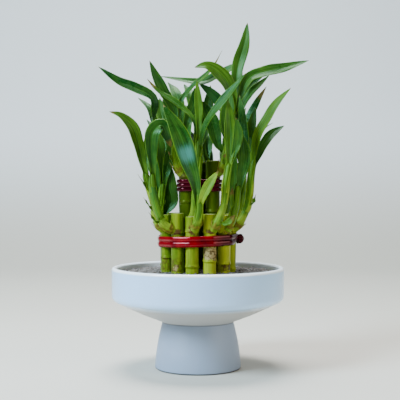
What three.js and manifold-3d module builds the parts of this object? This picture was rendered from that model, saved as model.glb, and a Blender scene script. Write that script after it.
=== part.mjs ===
// A two-tier lucky bamboo: seventeen cut canes tied with red wire, standing in gravel in a footed
// ceramic bowl. Millimetres, +Z up, origin at the middle of the foot's flat underside.
import * as THREE from 'three';
import { mergeVertices } from 'three/addons/utils/BufferGeometryUtils.js';
import Module from 'manifold-3d';

const wasm = await Module();
wasm.setup();

// ---- driving dimensions ----
const BOWL_RADIUS = 80;
const BOWL_HEIGHT = 94;
const WALL = 4.5;
const BAND_BOTTOM = 62.6;            // where the upright band turns into the underside
const FOOT_RADIUS = 39.9;
const FOOT_TOP_RADIUS = 33;
const FOOT_HEIGHT = 43.5;
const FOOT_BULGE = 1.7;              // how far down the foot stays wide: 1 is a plain cone
const FLOOR = 50;                    // inside floor of the bowl
const FLOOR_RADIUS = 38;
const BOWL_SIDES = 36;

const GAP = 0.3;                     // clearance between pieces that touch
const GRAVEL_TOP = 88;
const GRAVEL_MOUND = 2.5;            // how much the gravel rises towards the canes
const GRAVEL_SIDES = 30;
const GRAVEL_RINGS = 6;
const GRAVEL_ROUGH = 1.1;            // how far the heaps and hollows of the gravel stand from its level

const CANE_FOOT = FLOOR + 0.5;
const CANE_SIDES = 9;
const NODE_SWELL = 0.7;              // how far a node ring stands out of its cane
const NODE_HALF = 2.2;               // half the height of a node ring
const OUTER_RADIUS = 6;
const INNER_RADIUS = 6.5;
const OUTER_RING = [28.8, 30.4];     // distance of the outer canes from the axis: at the floor, at 143
const INNER_RING = [14.2, 14.6];
const INNER_SHIFT = 1.5;             // the inner bunch stands a little to +X
const RING_SPAN = 143 - FLOOR;

// [bearing from the front towards +X in degrees, top of the cane, heights of its node rings]
const OUTER_CANES = [
  [-71, 143.0, [104, 127]],
  [-38, 144.6, [90, 127.5]],
  [-10, 141.8, [97, 129]],
  [21, 144.0, [102, 128]],
  [53, 142.6, [99, 127]],
  [80, 143.5, [93, 127]],
  [110, 142.0, [101, 127]],
  [140, 144.4, [95, 127.5]],
  [170, 143.0, [104, 127]],
  [200, 141.6, [92, 126.5]],
  [230, 143.8, [99, 127.5]],
  [260, 142.4, [96, 127]],
];
const INNER_CANES = [
  [-57, 190.5, [112, 154.6, 178]],
  [57, 192.2, [108, 146, 177]],
  [125, 193.0, [118, 150, 177]],
  [180, 191.0, [104, 140, 182.5]],
  [235, 192.5, [110, 148, 176.5]],
];

const OUTER_SPROUT = 129;            // height at which the outer shoots leave their canes
const INNER_SPROUT = 179;
const LOW_SPROUT = 134;              // height of the second shoot on the first inner cane

const STEM_SIDES = 6;
const STEM_STEPS = 5;
const STEM_RADII = [4.0, 2.5];
const BLADE_STEPS = 6;
const BRACT_STEPS = 3;
const BLADE_MIDDLE = 0.9;            // blade thickness at the midrib
const BLADE_EDGE = 0.62;
const BLADE_SEAT = 1.2;              // how far off the stem's middle a blade starts
const BLADE_BASE = 0.36;             // width at the clasping base, as a share of the full width
const WIDEST_AT = 0.6;               // share of the length at which the blade is widest
const BLADE_TAPER = 0.8;             // how full the blade stays towards its tip: 1 is a plain cosine
const BLADE_TIP = 0.8;               // width left at the tip
const FOLD_BASE = 50;                // how steeply the two halves of the blade rise, in degrees
const FOLD_MIDDLE = 16;
const FOLD_TIP = 9;
const WAVE_HEIGHT = 0.45;
const WAVE_TURNS = 2.2;

// Each tie is wire wound round a bunch. Strand and depth are the wire's height and thickness, tilt is
// its rise per millimetre towards +X, bearing is where its ends are twisted together, and knob is half
// the length and width of that twist.
const LOWER_TIE = {
  middle: 119.4, strands: 2, strand: 4.6, depth: 2, pitch: 4.9, tilt: 0.03, bearing: 84, knob: [3.8, 3.2],
};
const UPPER_TIE = {
  middle: 169.8, strands: 3, strand: 3.5, depth: 1.8, pitch: 3.8, tilt: 0, bearing: 150, knob: [2.6, 2.2],
};
const TIE_GAP = 0.45;
const STRAND_END = 0.1;              // share of the last step by which a strand stops short of its start
const TIE_SIDES = 5;

const COLOURS = {
  glaze: { color: 0xdfe6ee, roughness: 0.35, metalness: 0 },
  gravel: { color: 0x7d7468, roughness: 0.95, metalness: 0 },
  cane: { color: 0x8da23a, roughness: 0.5, metalness: 0 },
  leaf: { color: 0x2f7a34, roughness: 0.4, metalness: 0 },
  wire: { color: 0xb3101f, roughness: 0.25, metalness: 0 },
};

// Face directions: which way the upper side of a blade looks.
const FRONT = [0, -1, 0];
const UP = [0, 0, 1];

// Shoots that stand at the front and at the sides. Each stem and blade is a list of points that it
// passes through, after its start in the cane or in the stem. A blade is
// [where it leaves the stem, points, width, face at its base, face at its tip].
const PLACED_SHOOTS = [
  {
    cane: 'cane_outer_01', sprout: OUTER_SPROUT,
    stem: [
      [-34.5, -12.5, 132.5], [-38.5, -14.5, 142], [-40.5, -16.5, 155], [-44.5, -17.5, 168],
      [-48.5, -18, 182],
    ],
    blades: [
      [0.75,
        [[-51.5, -19.5, 194], [-54.5, -22, 209], [-59.5, -25, 223], [-69, -28.5, 232.5], [-79.5, -32, 236]],
        11.5, [0.5, -0.8, 0], [0.1, -0.8, 0.5]],
      [0.9, [[-47, -9, 196], [-44, -1, 214], [-36, 6, 232]], 11, [0.4, -0.8, 0], [0, -0.8, 0.5]],
    ],
    bracts: [
      [0.35, [[-44, -20, 150], [-49.5, -22, 159]], 5, [0.8, -0.6, 0], UP],
      [0.6, [[-48.5, -21, 170], [-54.5, -23, 180]], 5, [0.8, -0.6, 0], UP],
    ],
  },
  {
    cane: 'cane_outer_02', sprout: OUTER_SPROUT,
    stem: [[-29, -29, 133], [-34.5, -31, 143], [-38, -31, 154], [-40.5, -30.5, 167], [-41.5, -29.5, 181]],
    blades: [
      [0.7,
        [[-43, -25.5, 202], [-42, -20, 229], [-41, -21, 248], [-57, -25, 258], [-70, -28, 263], [-89, -33, 276]],
        12.5, [0.3, 0.9, 0], [0.1, -1, 0.4]],
      [0.85, [[-41.5, -32, 201], [-40, -33, 217], [-33, -31, 224], [-24, -26, 204]], 14,
        [0.4, -0.9, 0], [-0.2, -0.8, 0.5]],
    ],
    bracts: [[0.25, [[-37.5, -35.5, 137], [-44, -36, 146]], 5, [0.8, -0.6, 0], UP]],
  },
  {
    cane: 'cane_outer_03', sprout: OUTER_SPROUT,
    stem: [[0, -37, 140], [1.5, -40, 152], [0.5, -41, 163]],
    blades: [
      [0.55, [[-2, -43, 170], [-8, -43, 190], [-17, -39, 216], [-31, -32, 242]], 18,
        FRONT, [0.3, -0.8, 0.5]],
      [0.5, [[4, -44, 158], [8, -46, 167], [13.5, -47, 176], [18, -48, 182.5]], 9,
        [-0.2, -1, 0], [0, -0.8, 0.6]],
    ],
    bracts: [],
  },
  {
    cane: 'cane_outer_04', sprout: OUTER_SPROUT,
    stem: [[18, -34, 138], [23, -36, 152], [25, -36, 172], [28, -34, 190]],
    blades: [
      [0.8, [[29, -33, 204], [29, -31, 224], [27, -29, 246]], 12, FRONT, [0.3, -0.8, 0.5]],
      [0.95, [[33, -34, 200], [36, -36, 214], [34, -38, 230]], 9, [-0.3, -1, 0], FRONT],
    ],
    bracts: [[0.15, [[25, -38.5, 136], [33, -41, 143.5]], 6.5, FRONT, FRONT]],
  },
  {
    cane: 'cane_outer_05', sprout: OUTER_SPROUT,
    stem: [[30, -23, 138], [34, -27, 152], [36, -28, 170]],
    blades: [
      [0.7, [[39, -28, 178], [42, -28, 194], [40, -27, 217]], 11.5, FRONT, FRONT],
      [0.85, [[41, -22, 188], [42, -18, 220], [38, -14, 252]], 9.5, [-0.4, -0.9, 0], [-0.4, -0.9, 0]],
      [0.3, [[32, -20, 152], [33, -18, 172], [34, -17, 199]], 9, FRONT, FRONT],
    ],
    bracts: [[0.4, [[30, -31, 156], [31, -33, 168]], 5.5, FRONT, FRONT]],
  },
  {
    cane: 'cane_outer_06', sprout: OUTER_SPROUT,
    stem: [[38, -6, 135], [44.5, -7, 147], [47.5, -8, 162], [49, -9, 180], [51.5, -9, 194]],
    blades: [
      [0.7, [[54.5, -10, 214], [64.5, -11, 233], [72.5, -12, 246], [85, -14, 259]], 10,
        [-0.5, -0.9, 0], [-0.3, -0.8, 0.4]],
      [0.8, [[60, -5, 206], [69, -1, 218], [80.5, 4, 225.5]], 10, [-0.4, -0.8, 0.3], [0, -0.8, 0.6]],
      [0.9, [[50, -3, 205], [50, 1, 224], [54, 4, 242]], 10, [-0.4, -0.9, 0], [-0.4, -0.8, 0.4]],
    ],
    bracts: [[0.4, [[50.5, -11, 153], [53.5, -12, 162]], 5.5, [-0.7, -0.7, 0], UP]],
  },
  {
    cane: 'cane_outer_07', sprout: OUTER_SPROUT,
    stem: [[36, 13, 138], [41, 15, 158], [43, 16, 180]],
    blades: [
      [0.85, [[45, 11, 212], [48, 9, 232], [55, 10, 247], [64.5, 14, 263]], 9,
        [-0.5, -0.9, 0], [-0.4, -0.8, 0.4]],
      [0.7, [[50, 22, 200], [58, 28, 219], [72, 34, 230]], 10.5, [-0.8, -0.5, 0], UP],
      [0.95, [[39, 24, 205], [39, 36, 229], [47, 50, 246]], 11, [-0.2, -0.9, 0], UP],
    ],
    bracts: [[0.35, [[43, 20, 156], [47, 22, 166]], 5.5, [-0.7, -0.5, 0], UP]],
  },
  {
    cane: 'cane_outer_12', sprout: OUTER_SPROUT,
    stem: [[-36, 6, 137], [-35, 6, 154], [-33, 7, 172]],
    blades: [
      [0.6, [[-40, 5, 180], [-45, 7, 200], [-40, 8, 219]], 11.5, [0.2, -1, 0], FRONT],
      [0.8, [[-28, 7, 190], [-24, 7, 206], [-21, 8, 223]], 11, FRONT, [0.2, -0.9, 0.3]],
      [0.95, [[-35, 14, 194], [-38, 19, 214], [-45, 25, 228]], 11, [0.4, -0.8, 0], UP],
      [0.15, [[-30, 8, 145.5], [-25, 8.5, 155], [-27, 8, 168], [-25.5, 7, 188]], 12,
        [0.2, -1, 0], FRONT],
    ],
    bracts: [],
  },
  {
    cane: 'cane_inner_01', sprout: LOW_SPROUT, name: 'shoot_inner_low',
    stem: [
      [-4.5, -15.5, 141], [-3, -18, 152], [-2.5, -21, 163], [-1, -22.3, 172], [0, -22, 182], [1, -19, 212],
    ],
    blades: [
      [0.92, [[1, -20, 234], [-1, -23, 265]], 7.5, FRONT, FRONT],
      [0.79, [[6, -24, 222], [16, -29, 238], [43, -37, 270]], 8.5, [-0.5, -0.8, 0.2], [-0.3, -0.8, 0.5]],
      [0.875, [[-4, -18, 229], [-13, -15, 240], [-25, -12, 249], [-37, -10, 257], [-47, -8, 268]], 6,
        [0.3, -0.8, 0.5], [0, -0.8, 0.6]],
    ],
    bracts: [],
  },
  {
    cane: 'cane_inner_01', sprout: INNER_SPROUT,
    stem: [[-18, -10, 186], [-21, -9, 198], [-20, -8, 212], [-18, -6, 224]],
    blades: [
      [0.8, [[-22, -5, 238], [-32, -4, 257], [-39, -6, 271], [-44.5, -8, 284.5]], 10.5,
        [0.3, -0.9, 0], [0.2, -0.9, 0.2]],
      [0.85, [[-17, 2, 236], [-15, 4, 250], [-1, 5, 266], [13, 5, 278.5], [22.5, 4, 295.5]], 6,
        [0.2, -0.9, 0], [-0.5, -0.35, 0.8]],
      [0.6, [[-26, -3, 216], [-34, 4, 236], [-36, 12, 252]], 11, [0.4, -0.9, 0], [0, -0.8, 0.5]],
    ],
    bracts: [[0.25, [[-25, -13, 194], [-27, -15, 201]], 5.5, [0.7, -0.7, 0], UP]],
  },
  {
    cane: 'cane_inner_02', sprout: INNER_SPROUT,
    stem: [[22, -9, 187], [27, -9, 201], [30, -8, 219], [32, -7, 236]],
    blades: [
      [0.9, [[31, -12, 252], [27, -15, 263], [18, -18, 273], [7, -21, 278.5], [-3, -23, 276.5]], 14,
        [0.2, -1, 0.1], [0.1, -0.9, 0.5]],
      [0.95, [[35, -4, 260], [37, -2, 280], [43, 0, 300], [46, 2, 321]], 12, [-0.3, -1, 0], FRONT],
      [0.8, [[38, 0, 262], [36, 5, 280], [20, 9, 274], [4, 11, 267.5], [-36, 13, 272.5]], 9,
        [-0.2, -0.9, 0.2], [0, -0.7, 0.7]],
      [0.85, [[38, -6, 248], [43, -4, 262], [49, -2, 270.5], [61, 0, 275], [80, 5, 279.5], [104, 10, 287]],
        12, [-0.4, -0.9, 0], [-0.1, -0.8, 0.5]],
      [0.5, [[26, -13, 220], [27, -15, 236], [30, -14, 256]], 13, FRONT, FRONT],
    ],
    bracts: [[0.2, [[24, -14, 190], [25, -17, 199]], 6, FRONT, FRONT]],
  },
  {
    cane: 'cane_inner_03', sprout: INNER_SPROUT,
    stem: [[24, 14, 188], [28, 16, 204], [31, 17, 222]],
    blades: [
      [0.75, [[42, 20, 254], [51, 22, 266], [64, 25, 275.5]], 7.5, [-0.5, -0.8, 0.1], [-0.3, -0.9, 0.2]],
      [0.9, [[40, 12, 240], [49, 13, 256], [67.5, 17, 274]], 7.5, [-0.5, -0.8, 0.1], [-0.3, -0.9, 0.2]],
      [0.6, [[26, 11, 222], [27, 8, 240], [33, 6, 258]], 13, FRONT, FRONT],
      [0.4, [[18, 18, 211], [14, 20, 228], [4, 20, 250]], 14, FRONT, [0, -0.9, 0.4]],
      [0.8, [[27, 14, 236], [15, 11, 254], [1, 9, 265.5]], 11, [0.3, 0.9, 0.1], [0.1, 0.9, 0.3]],
      [0.95, [[31, 28, 240], [32, 42, 261], [38, 58, 272]], 11, FRONT, UP],
    ],
    bracts: [],
  },
  {
    cane: 'cane_inner_04', sprout: INNER_SPROUT,
    stem: [[2, 24, 190], [-1, 27, 205], [-1, 28, 219]],
    blades: [
      [0.75, [[6, 27, 232], [10, 28, 248], [12, 32, 266]], 10.5, FRONT, [0, -0.9, 0.4]],
      [0.55, [[6, 38, 220], [12, 52, 242], [22, 68, 252]], 12, FRONT, UP],
      [0.95, [[-3, 36, 238], [-8, 47, 259], [-14, 60, 270]], 11, FRONT, UP],
    ],
    bracts: [],
  },
  {
    cane: 'cane_inner_05', sprout: INNER_SPROUT,
    stem: [[-16, 15, 188], [-17, 19, 204], [-14, 21, 220]],
    blades: [
      [0.7, [[-22, 19, 226], [-29, 19, 244], [-30, 22, 262]], 10.5, [0.3, -0.9, 0], [0, -0.8, 0.4]],
      [0.9, [[-9, 19, 234], [-4, 16, 248], [-3, 14, 262]], 10.5, [-0.2, -0.9, 0], FRONT],
      [0.6, [[-24, 30, 216], [-32, 42, 236], [-46, 52, 246]], 11, [0.4, -0.8, 0], UP],
      [0.95, [[-16, 33, 238], [-22, 46, 260], [-30, 60, 272]], 11, FRONT, UP],
    ],
    bracts: [],
  },
];

// The shoots on the rear canes follow one rule.
// [cane, length of the stem, number of blades, bearing towards which the blades lean]
const RULED_SHOOTS = [
  ['cane_outer_08', 54, 4, 154],
  ['cane_outer_09', 64, 4, 192],
  ['cane_outer_10', 56, 4, 174],
  ['cane_outer_11', 62, 4, 199],
];
const RULED_SPREAD = [14, 34];       // degrees to either side
const RULED_REACH = [18, 26];        // least reach and how much is drawn on top of it
const RULED_RISE = [44, 26];
const RULED_WIDTH = [10, 3];

// ---- helpers ----
const radians = THREE.MathUtils.degToRad;
const vector = (values) => new THREE.Vector3(...values);
const mix = (a, b, t) => a + (b - a) * t;
const golden = (n) => (n * 0.618034) % 1;
const bearingVector = (degrees) => {
  const angle = radians(degrees);
  return new THREE.Vector3(Math.sin(angle), -Math.cos(angle), 0);
};

const fan = (sides) => Array.from({ length: sides - 2 }, (_, s) => [0, s + 1, s + 2]);

// A closed skin over rings of equally many points, listed anticlockwise seen from the far end.
function loft(rings, mirrored = () => false, cap = fan(rings[0].length)) {
  const sides = rings[0].length;
  const positions = rings.flat().flatMap((p) => [p.x, p.y, p.z]);
  const index = [];
  for (let r = 0; r + 1 < rings.length; r += 1) {
    for (let s = 0; s < sides; s += 1) {
      const a = r * sides + s;
      const b = r * sides + (s + 1) % sides;
      const c = b + sides;
      const d = a + sides;
      index.push(...(mirrored(s) ? [a, b, d, b, c, d] : [a, b, c, a, c, d]));
    }
  }
  const last = (rings.length - 1) * sides;
  for (const [a, b, c] of cap) {
    index.push(a, c, b);
    index.push(last + a, last + b, last + c);
  }
  const geometry = new THREE.BufferGeometry();
  geometry.setAttribute('position', new THREE.Float32BufferAttribute(positions, 3));
  geometry.setIndex(index);
  return geometry;
}

function toSolid(geometry) {
  const bare = geometry.clone();
  bare.deleteAttribute('normal');
  bare.deleteAttribute('uv');
  const merged = mergeVertices(bare, 1e-4);
  return new wasm.Manifold(new wasm.Mesh({
    numProp: 3,
    vertProperties: new Float32Array(merged.attributes.position.array),
    triVerts: new Uint32Array(merged.index.array),
  }));
}

function toGeometry(solid) {
  const mesh = solid.getMesh();
  const geometry = new THREE.BufferGeometry();
  geometry.setAttribute('position', new THREE.Float32BufferAttribute(mesh.vertProperties, 3));
  geometry.setIndex(Array.from(mesh.triVerts));
  return geometry;
}

function material(name) {
  return new THREE.MeshStandardMaterial(COLOURS[name]);
}

function piece(name, geometry, finish) {
  geometry.computeVertexNormals();
  const mesh = new THREE.Mesh(geometry, material(finish));
  mesh.name = name;
  return mesh;
}

// A lathe turns about +Y, so the result is stood up to turn about +Z.
function turned(profile, sides) {
  const points = profile.map(([r, z]) => new THREE.Vector2(r, z));
  return new THREE.LatheGeometry(points, sides).rotateX(Math.PI / 2);
}

// ---- the bowl on its foot ----
function footRadius(z) {
  return mix(FOOT_RADIUS, FOOT_TOP_RADIUS, (z / FOOT_HEIGHT) ** FOOT_BULGE);
}

function bowlProfile() {
  const inner = BOWL_RADIUS - WALL;
  const lip = WALL / 2;
  return [
    [0, 0], [FOOT_RADIUS - 1.7, 0], [FOOT_RADIUS - 0.4, 0.6],
    ...[2, 15, 30].map((z) => [footRadius(z), z]),
    [FOOT_TOP_RADIUS, FOOT_HEIGHT], [35.3, FOOT_HEIGHT + 0.8], [52, 51], [68, 58.4],
    [BOWL_RADIUS - 4.2, BAND_BOTTOM - 0.7], [BOWL_RADIUS - 1.8, BAND_BOTTOM + 0.6],
    [BOWL_RADIUS - 0.5, BAND_BOTTOM + 2.4], [BOWL_RADIUS, BAND_BOTTOM + 4.7],
    [BOWL_RADIUS, BOWL_HEIGHT - lip],
    [BOWL_RADIUS - 0.7, BOWL_HEIGHT - 0.7], [BOWL_RADIUS - lip, BOWL_HEIGHT],
    [inner + 0.7, BOWL_HEIGHT - 0.7], [inner, BOWL_HEIGHT - lip],
    [inner, BAND_BOTTOM + 7], [inner - 1.5, BAND_BOTTOM + 4], [inner - 5.5, BAND_BOTTOM + 1.6],
    [FLOOR_RADIUS, FLOOR], [0, FLOOR],
  ];
}

// ---- canes ----
function cane(name, ring, radius, shift, [bearing, top, nodes]) {
  const out = bearingVector(bearing);
  const foot = out.clone().multiplyScalar(ring[0]).add(new THREE.Vector3(shift, 0, CANE_FOOT));
  const lean = Math.atan((ring[1] - ring[0]) / RING_SPAN);
  const direction = out.clone().multiplyScalar(Math.sin(lean));
  direction.z = Math.cos(lean);
  return { name, radius, bearing, top, nodes, foot, direction, length: (top - CANE_FOOT) / direction.z };
}

const canes = [
  ...OUTER_CANES.map((row, i) => cane(`cane_outer_${String(i + 1).padStart(2, '0')}`,
    OUTER_RING, OUTER_RADIUS, 0, row)),
  ...INNER_CANES.map((row, i) => cane(`cane_inner_${String(i + 1).padStart(2, '0')}`,
    INNER_RING, INNER_RADIUS, INNER_SHIFT, row)),
];
const caneNamed = (name) => canes.find((each) => each.name === name);

function axisPoint(each, height) {
  return each.foot.clone().addScaledVector(each.direction, (height - CANE_FOOT) / each.direction.z);
}

function caneGeometry(each, grow) {
  const { radius, nodes, length } = each;
  const r = radius + grow;
  const profile = [[0, -grow], [r, -grow]];
  for (const node of nodes) {
    const along = node - CANE_FOOT;
    profile.push([r - 0.15, along - NODE_HALF], [r + NODE_SWELL, along], [r, along + NODE_HALF]);
  }
  profile.push([r - 0.1, length + grow], [0, length + grow]);
  return turned(profile, CANE_SIDES);
}

function standInPlace(object, each) {
  object.position.copy(each.foot);
  object.quaternion.setFromUnitVectors(new THREE.Vector3(0, 0, 1), each.direction);
  object.updateMatrix();
  return object;
}

function caneSolid(each, grow) {
  const holder = standInPlace(new THREE.Object3D(), each);
  return toSolid(caneGeometry(each, grow).applyMatrix4(holder.matrix));
}

// ---- gravel ----
function gravelGeometry() {
  const wall = BOWL_RADIUS - WALL - GAP;
  const profile = [
    [0, FLOOR + GAP], [FLOOR_RADIUS, FLOOR + GAP], [wall - 5.5, BAND_BOTTOM + 1.9],
    [wall - 1.4, BAND_BOTTOM + 4.4], [wall, BAND_BOTTOM + 7.3],
  ];
  for (let i = GRAVEL_RINGS; i > 0; i -= 1) {
    const r = wall * i / GRAVEL_RINGS;
    profile.push([r, GRAVEL_TOP + GRAVEL_MOUND * Math.cos(Math.PI / 2 * i / GRAVEL_RINGS)]);
  }
  profile.push([0, GRAVEL_TOP + GRAVEL_MOUND]);
  const bare = turned(profile, GRAVEL_SIDES).deleteAttribute('uv').deleteAttribute('normal');
  const geometry = mergeVertices(bare, 1e-3);
  const position = geometry.attributes.position;
  for (let i = 0; i < position.count; i += 1) {
    const x = position.getX(i);
    const y = position.getY(i);
    if (position.getZ(i) > GRAVEL_TOP - 0.5 && Math.hypot(x, y) < wall - 1) {
      position.setZ(i, position.getZ(i) + GRAVEL_ROUGH * Math.sin(0.9 * x + 2) * Math.sin(1.1 * y));
    }
  }
  return geometry;
}

function gravelWithHoles() {
  let solid = toSolid(gravelGeometry());
  for (const each of canes) {
    solid = solid.subtract(caneSolid(each, GAP + 0.05));
  }
  return toGeometry(solid);
}

// ---- ties ----
// One turn of the wire's route round a bunch of canes, each with its outward direction.
function wrap(bunch, height, depth) {
  const centres = bunch.map((each) => axisPoint(each, height));
  const route = [];
  centres.forEach((centre, i) => {
    const before = centres[(i + centres.length - 1) % centres.length];
    const after = centres[(i + 1) % centres.length];
    const enter = Math.atan2(before.x - centre.x, centre.y - before.y);
    let leave = Math.atan2(centre.x - after.x, after.y - centre.y);
    while (leave < enter) {
      leave += 2 * Math.PI;
    }
    const steps = Math.max(1, Math.round((leave - enter) / radians(28)));
    const stretch = 1 / Math.cos((leave - enter) / steps / 2);
    for (let k = 0; k <= steps; k += 1) {
      const angle = mix(enter, leave, k / steps);
      const out = new THREE.Vector3(Math.cos(angle), Math.sin(angle), 0);
      const reach = (bunch[i].radius + TIE_GAP + depth / 2) * stretch;
      route.push({ at: centre.clone().addScaledVector(out, reach), out });
    }
  });
  return route;
}

// One strand: a turn that starts and ends inside the knob.
function strandSolid(turn, start, tie, level) {
  const rings = [];
  for (let i = 0; i <= turn.length; i += 1) {
    const { at, out } = turn[(start + i) % turn.length];
    const middle = at.clone();
    if (i === turn.length) {
      middle.lerp(turn[(start + i - 1) % turn.length].at, STRAND_END);
    }
    middle.z = tie.middle + level + middle.x * tie.tilt;
    const ring = [];
    for (let s = 0; s < TIE_SIDES; s += 1) {
      const angle = -2 * Math.PI * s / TIE_SIDES;
      const p = middle.clone().addScaledVector(out, tie.depth / 2 * Math.cos(angle));
      p.z += tie.strand / 2 * Math.sin(angle);
      ring.push(p);
    }
    rings.push(ring);
  }
  return toSolid(loft(rings));
}

// The twisted ends of the wire: a short knob that bridges the strands.
function knobSolid({ at, out }, tie) {
  const [reach, breadth] = tie.knob;
  const height = (tie.strands - 1) / 2 * tie.pitch + tie.strand * 0.4;
  const knob = new THREE.SphereGeometry(1, 10, 6).scale(reach, breadth, height);
  knob.rotateZ(Math.atan2(out.y, out.x));
  knob.translate(at.x + out.x * reach * 0.6, at.y + out.y * reach * 0.6, tie.middle + at.x * tie.tilt);
  return toSolid(knob);
}

function tieGeometry(bunch, tie) {
  const turn = wrap(bunch, tie.middle, tie.depth);
  const towards = bearingVector(tie.bearing);
  const facing = turn.map(({ out }) => out.dot(towards));
  const start = facing.indexOf(Math.max(...facing));
  let solid = knobSolid(turn[start], tie);
  for (let i = 0; i < tie.strands; i += 1) {
    solid = solid.add(strandSolid(turn, start, tie, (i - (tie.strands - 1) / 2) * tie.pitch));
  }
  return toGeometry(solid);
}

// ---- stems and blades ----
function bladeShare(s) {
  if (s < WIDEST_AT) {
    return BLADE_BASE + (1 - BLADE_BASE) * Math.sin(Math.PI / 2 * s / WIDEST_AT) ** 2;
  }
  return Math.cos(Math.PI / 2 * Math.min((s - WIDEST_AT) / (1 - WIDEST_AT), 1)) ** BLADE_TAPER;
}

function foldAt(s) {
  return s < 0.4 ? mix(FOLD_BASE, FOLD_MIDDLE, s / 0.4) : mix(FOLD_MIDDLE, FOLD_TIP, (s - 0.4) / 0.6);
}

// The end of a blade is a bent strip, closed half by half.
const BLADE_CAP = [[0, 1, 4], [0, 4, 5], [1, 2, 3], [1, 3, 4]];

// A blade of six-sided rings: two half blades that meet at the midrib in a shallow V.
function bladeGeometry(points, width, baseFace, tipFace, steps) {
  const curve = new THREE.CatmullRomCurve3(points);
  const phase = points[0].x;
  const rings = [];
  for (let i = 0; i <= steps; i += 1) {
    const s = i / steps;
    const centre = curve.getPointAt(s);
    const along = curve.getTangentAt(s);
    const face = vector(baseFace).lerp(vector(tipFace), s);
    face.addScaledVector(along, -face.dot(along)).normalize();
    const side = new THREE.Vector3().crossVectors(along, face);
    const fold = radians(foldAt(s));
    const half = Math.max(width * bladeShare(s), BLADE_TIP) / 2;
    const point = (across, wave, lift) => centre.clone()
      .addScaledVector(side, across * half * Math.cos(fold) - Math.sign(across) * lift * Math.sin(fold))
      .addScaledVector(face, Math.abs(across) * half * Math.sin(fold) + wave + lift * Math.cos(fold));
    const swing = WAVE_HEIGHT * Math.sin(Math.PI * s) * Math.sin(2 * Math.PI * WAVE_TURNS * s + phase);
    const edge = BLADE_EDGE / 2;
    const middle = BLADE_MIDDLE / 2 / Math.cos(fold) ** 2;
    rings.push([
      point(-1, -swing, edge), point(0, 0, middle), point(1, swing, edge),
      point(1, swing, -edge), point(0, 0, -middle), point(-1, -swing, -edge),
    ]);
  }
  return loft(rings, (s) => s === 1 || s === 3, BLADE_CAP);
}

function stemGeometry(points) {
  const curve = new THREE.CatmullRomCurve3(points);
  const rings = [];
  for (let i = 0; i <= STEM_STEPS; i += 1) {
    const s = i / STEM_STEPS;
    const centre = curve.getPointAt(s);
    const along = curve.getTangentAt(s);
    const side = new THREE.Vector3().crossVectors(along, vector(FRONT)).normalize();
    const face = new THREE.Vector3().crossVectors(side, along);
    const radius = mix(STEM_RADII[0], STEM_RADII[1], s);
    const ring = [];
    for (let k = 0; k < STEM_SIDES; k += 1) {
      const angle = 2 * Math.PI * k / STEM_SIDES;
      ring.push(centre.clone().addScaledVector(face, radius * Math.cos(angle))
        .addScaledVector(side, radius * Math.sin(angle)));
    }
    rings.push(ring);
  }
  return loft(rings);
}

function shootSolid(plan) {
  const parent = caneNamed(plan.cane);
  const points = [axisPoint(parent, plan.sprout), ...plan.stem.map(vector)];
  const curve = new THREE.CatmullRomCurve3(points);
  let solid = toSolid(stemGeometry(points));
  const blades = [
    ...plan.blades.map((row) => [...row, BLADE_STEPS]),
    ...plan.bracts.map((row) => [...row, BRACT_STEPS]),
  ];
  for (const [at, path, width, baseFace, tipFace, steps] of blades) {
    const base = curve.getPointAt(at);
    const lean = vector(path[path.length - 1]).sub(base).setZ(0).setLength(BLADE_SEAT);
    const route = [base.add(lean), ...path.map(vector)];
    solid = solid.add(toSolid(bladeGeometry(route, width, baseFace, tipFace, steps)));
  }
  solid = solid.subtract(caneSolid(parent, GAP));
  // Fusing can seal a small hollow between a blade and the stem, so only the outer skin is kept.
  return solid.decompose().reduce((best, skin) => (skin.volume() > best.volume() ? skin : best));
}

// A shoot that follows the rule: its blades turn to either side in turn and arch outwards.
function ruledPlan([name, length, count, aim], order) {
  const parent = caneNamed(name);
  const out = bearingVector(parent.bearing);
  const start = axisPoint(parent, OUTER_SPROUT);
  const rising = (from, heading, outward, up) => from.clone().addScaledVector(heading, outward)
    .add(new THREE.Vector3(0, 0, up)).toArray();
  const stem = [[9, 8], [13, 0.45 * length], [15, length]]
    .map(([outward, up]) => rising(start, out, outward, up));
  const stemCurve = new THREE.CatmullRomCurve3([start, ...stem.map(vector)]);
  const blades = [];
  for (let k = 0; k < count; k += 1) {
    const turn = mix(RULED_SPREAD[0], RULED_SPREAD[1], golden(order * 5 + k * 2 + 1));
    const heading = bearingVector(aim + (k % 2 ? turn : -turn));
    const reach = RULED_REACH[0] + RULED_REACH[1] * golden(order * 3 + k + 2);
    const rise = RULED_RISE[0] + RULED_RISE[1] * golden(order + k * 4 + 1);
    const width = RULED_WIDTH[0] + RULED_WIDTH[1] * golden(order + k);
    const at = mix(0.45, 0.97, k / (count - 1));
    const base = stemCurve.getPointAt(at);
    const path = [[0.2, 0.42], [0.52, 0.82], [1, 1]]
      .map(([outward, up]) => rising(base, heading, reach * outward, rise * up));
    blades.push([at, path, width, heading.clone().negate().toArray(), UP]);
  }
  return { cane: name, sprout: OUTER_SPROUT, stem, blades, bracts: [] };
}

// ---- the plant in its pot ----
const plant = new THREE.Group();
plant.name = 'lucky_bamboo';
plant.add(piece('bowl', turned(bowlProfile(), BOWL_SIDES), 'glaze'));
plant.add(piece('gravel', gravelWithHoles(), 'gravel'));
for (const each of canes) {
  plant.add(standInPlace(piece(each.name, caneGeometry(each, 0), 'cane'), each));
}
const outerBunch = canes.slice(0, OUTER_CANES.length);
const innerBunch = canes.slice(OUTER_CANES.length);
plant.add(piece('tie_lower', tieGeometry(outerBunch, LOWER_TIE), 'wire'));
plant.add(piece('tie_upper', tieGeometry(innerBunch, UPPER_TIE), 'wire'));
const shoots = new THREE.Group();
for (const plan of [...PLACED_SHOOTS, ...RULED_SHOOTS.map(ruledPlan)]) {
  const name = plan.name ?? plan.cane.replace('cane', 'shoot');
  shoots.add(piece(name, toGeometry(shootSolid(plan)), 'leaf'));
}
plant.add(shoots);

export default plant;
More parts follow.
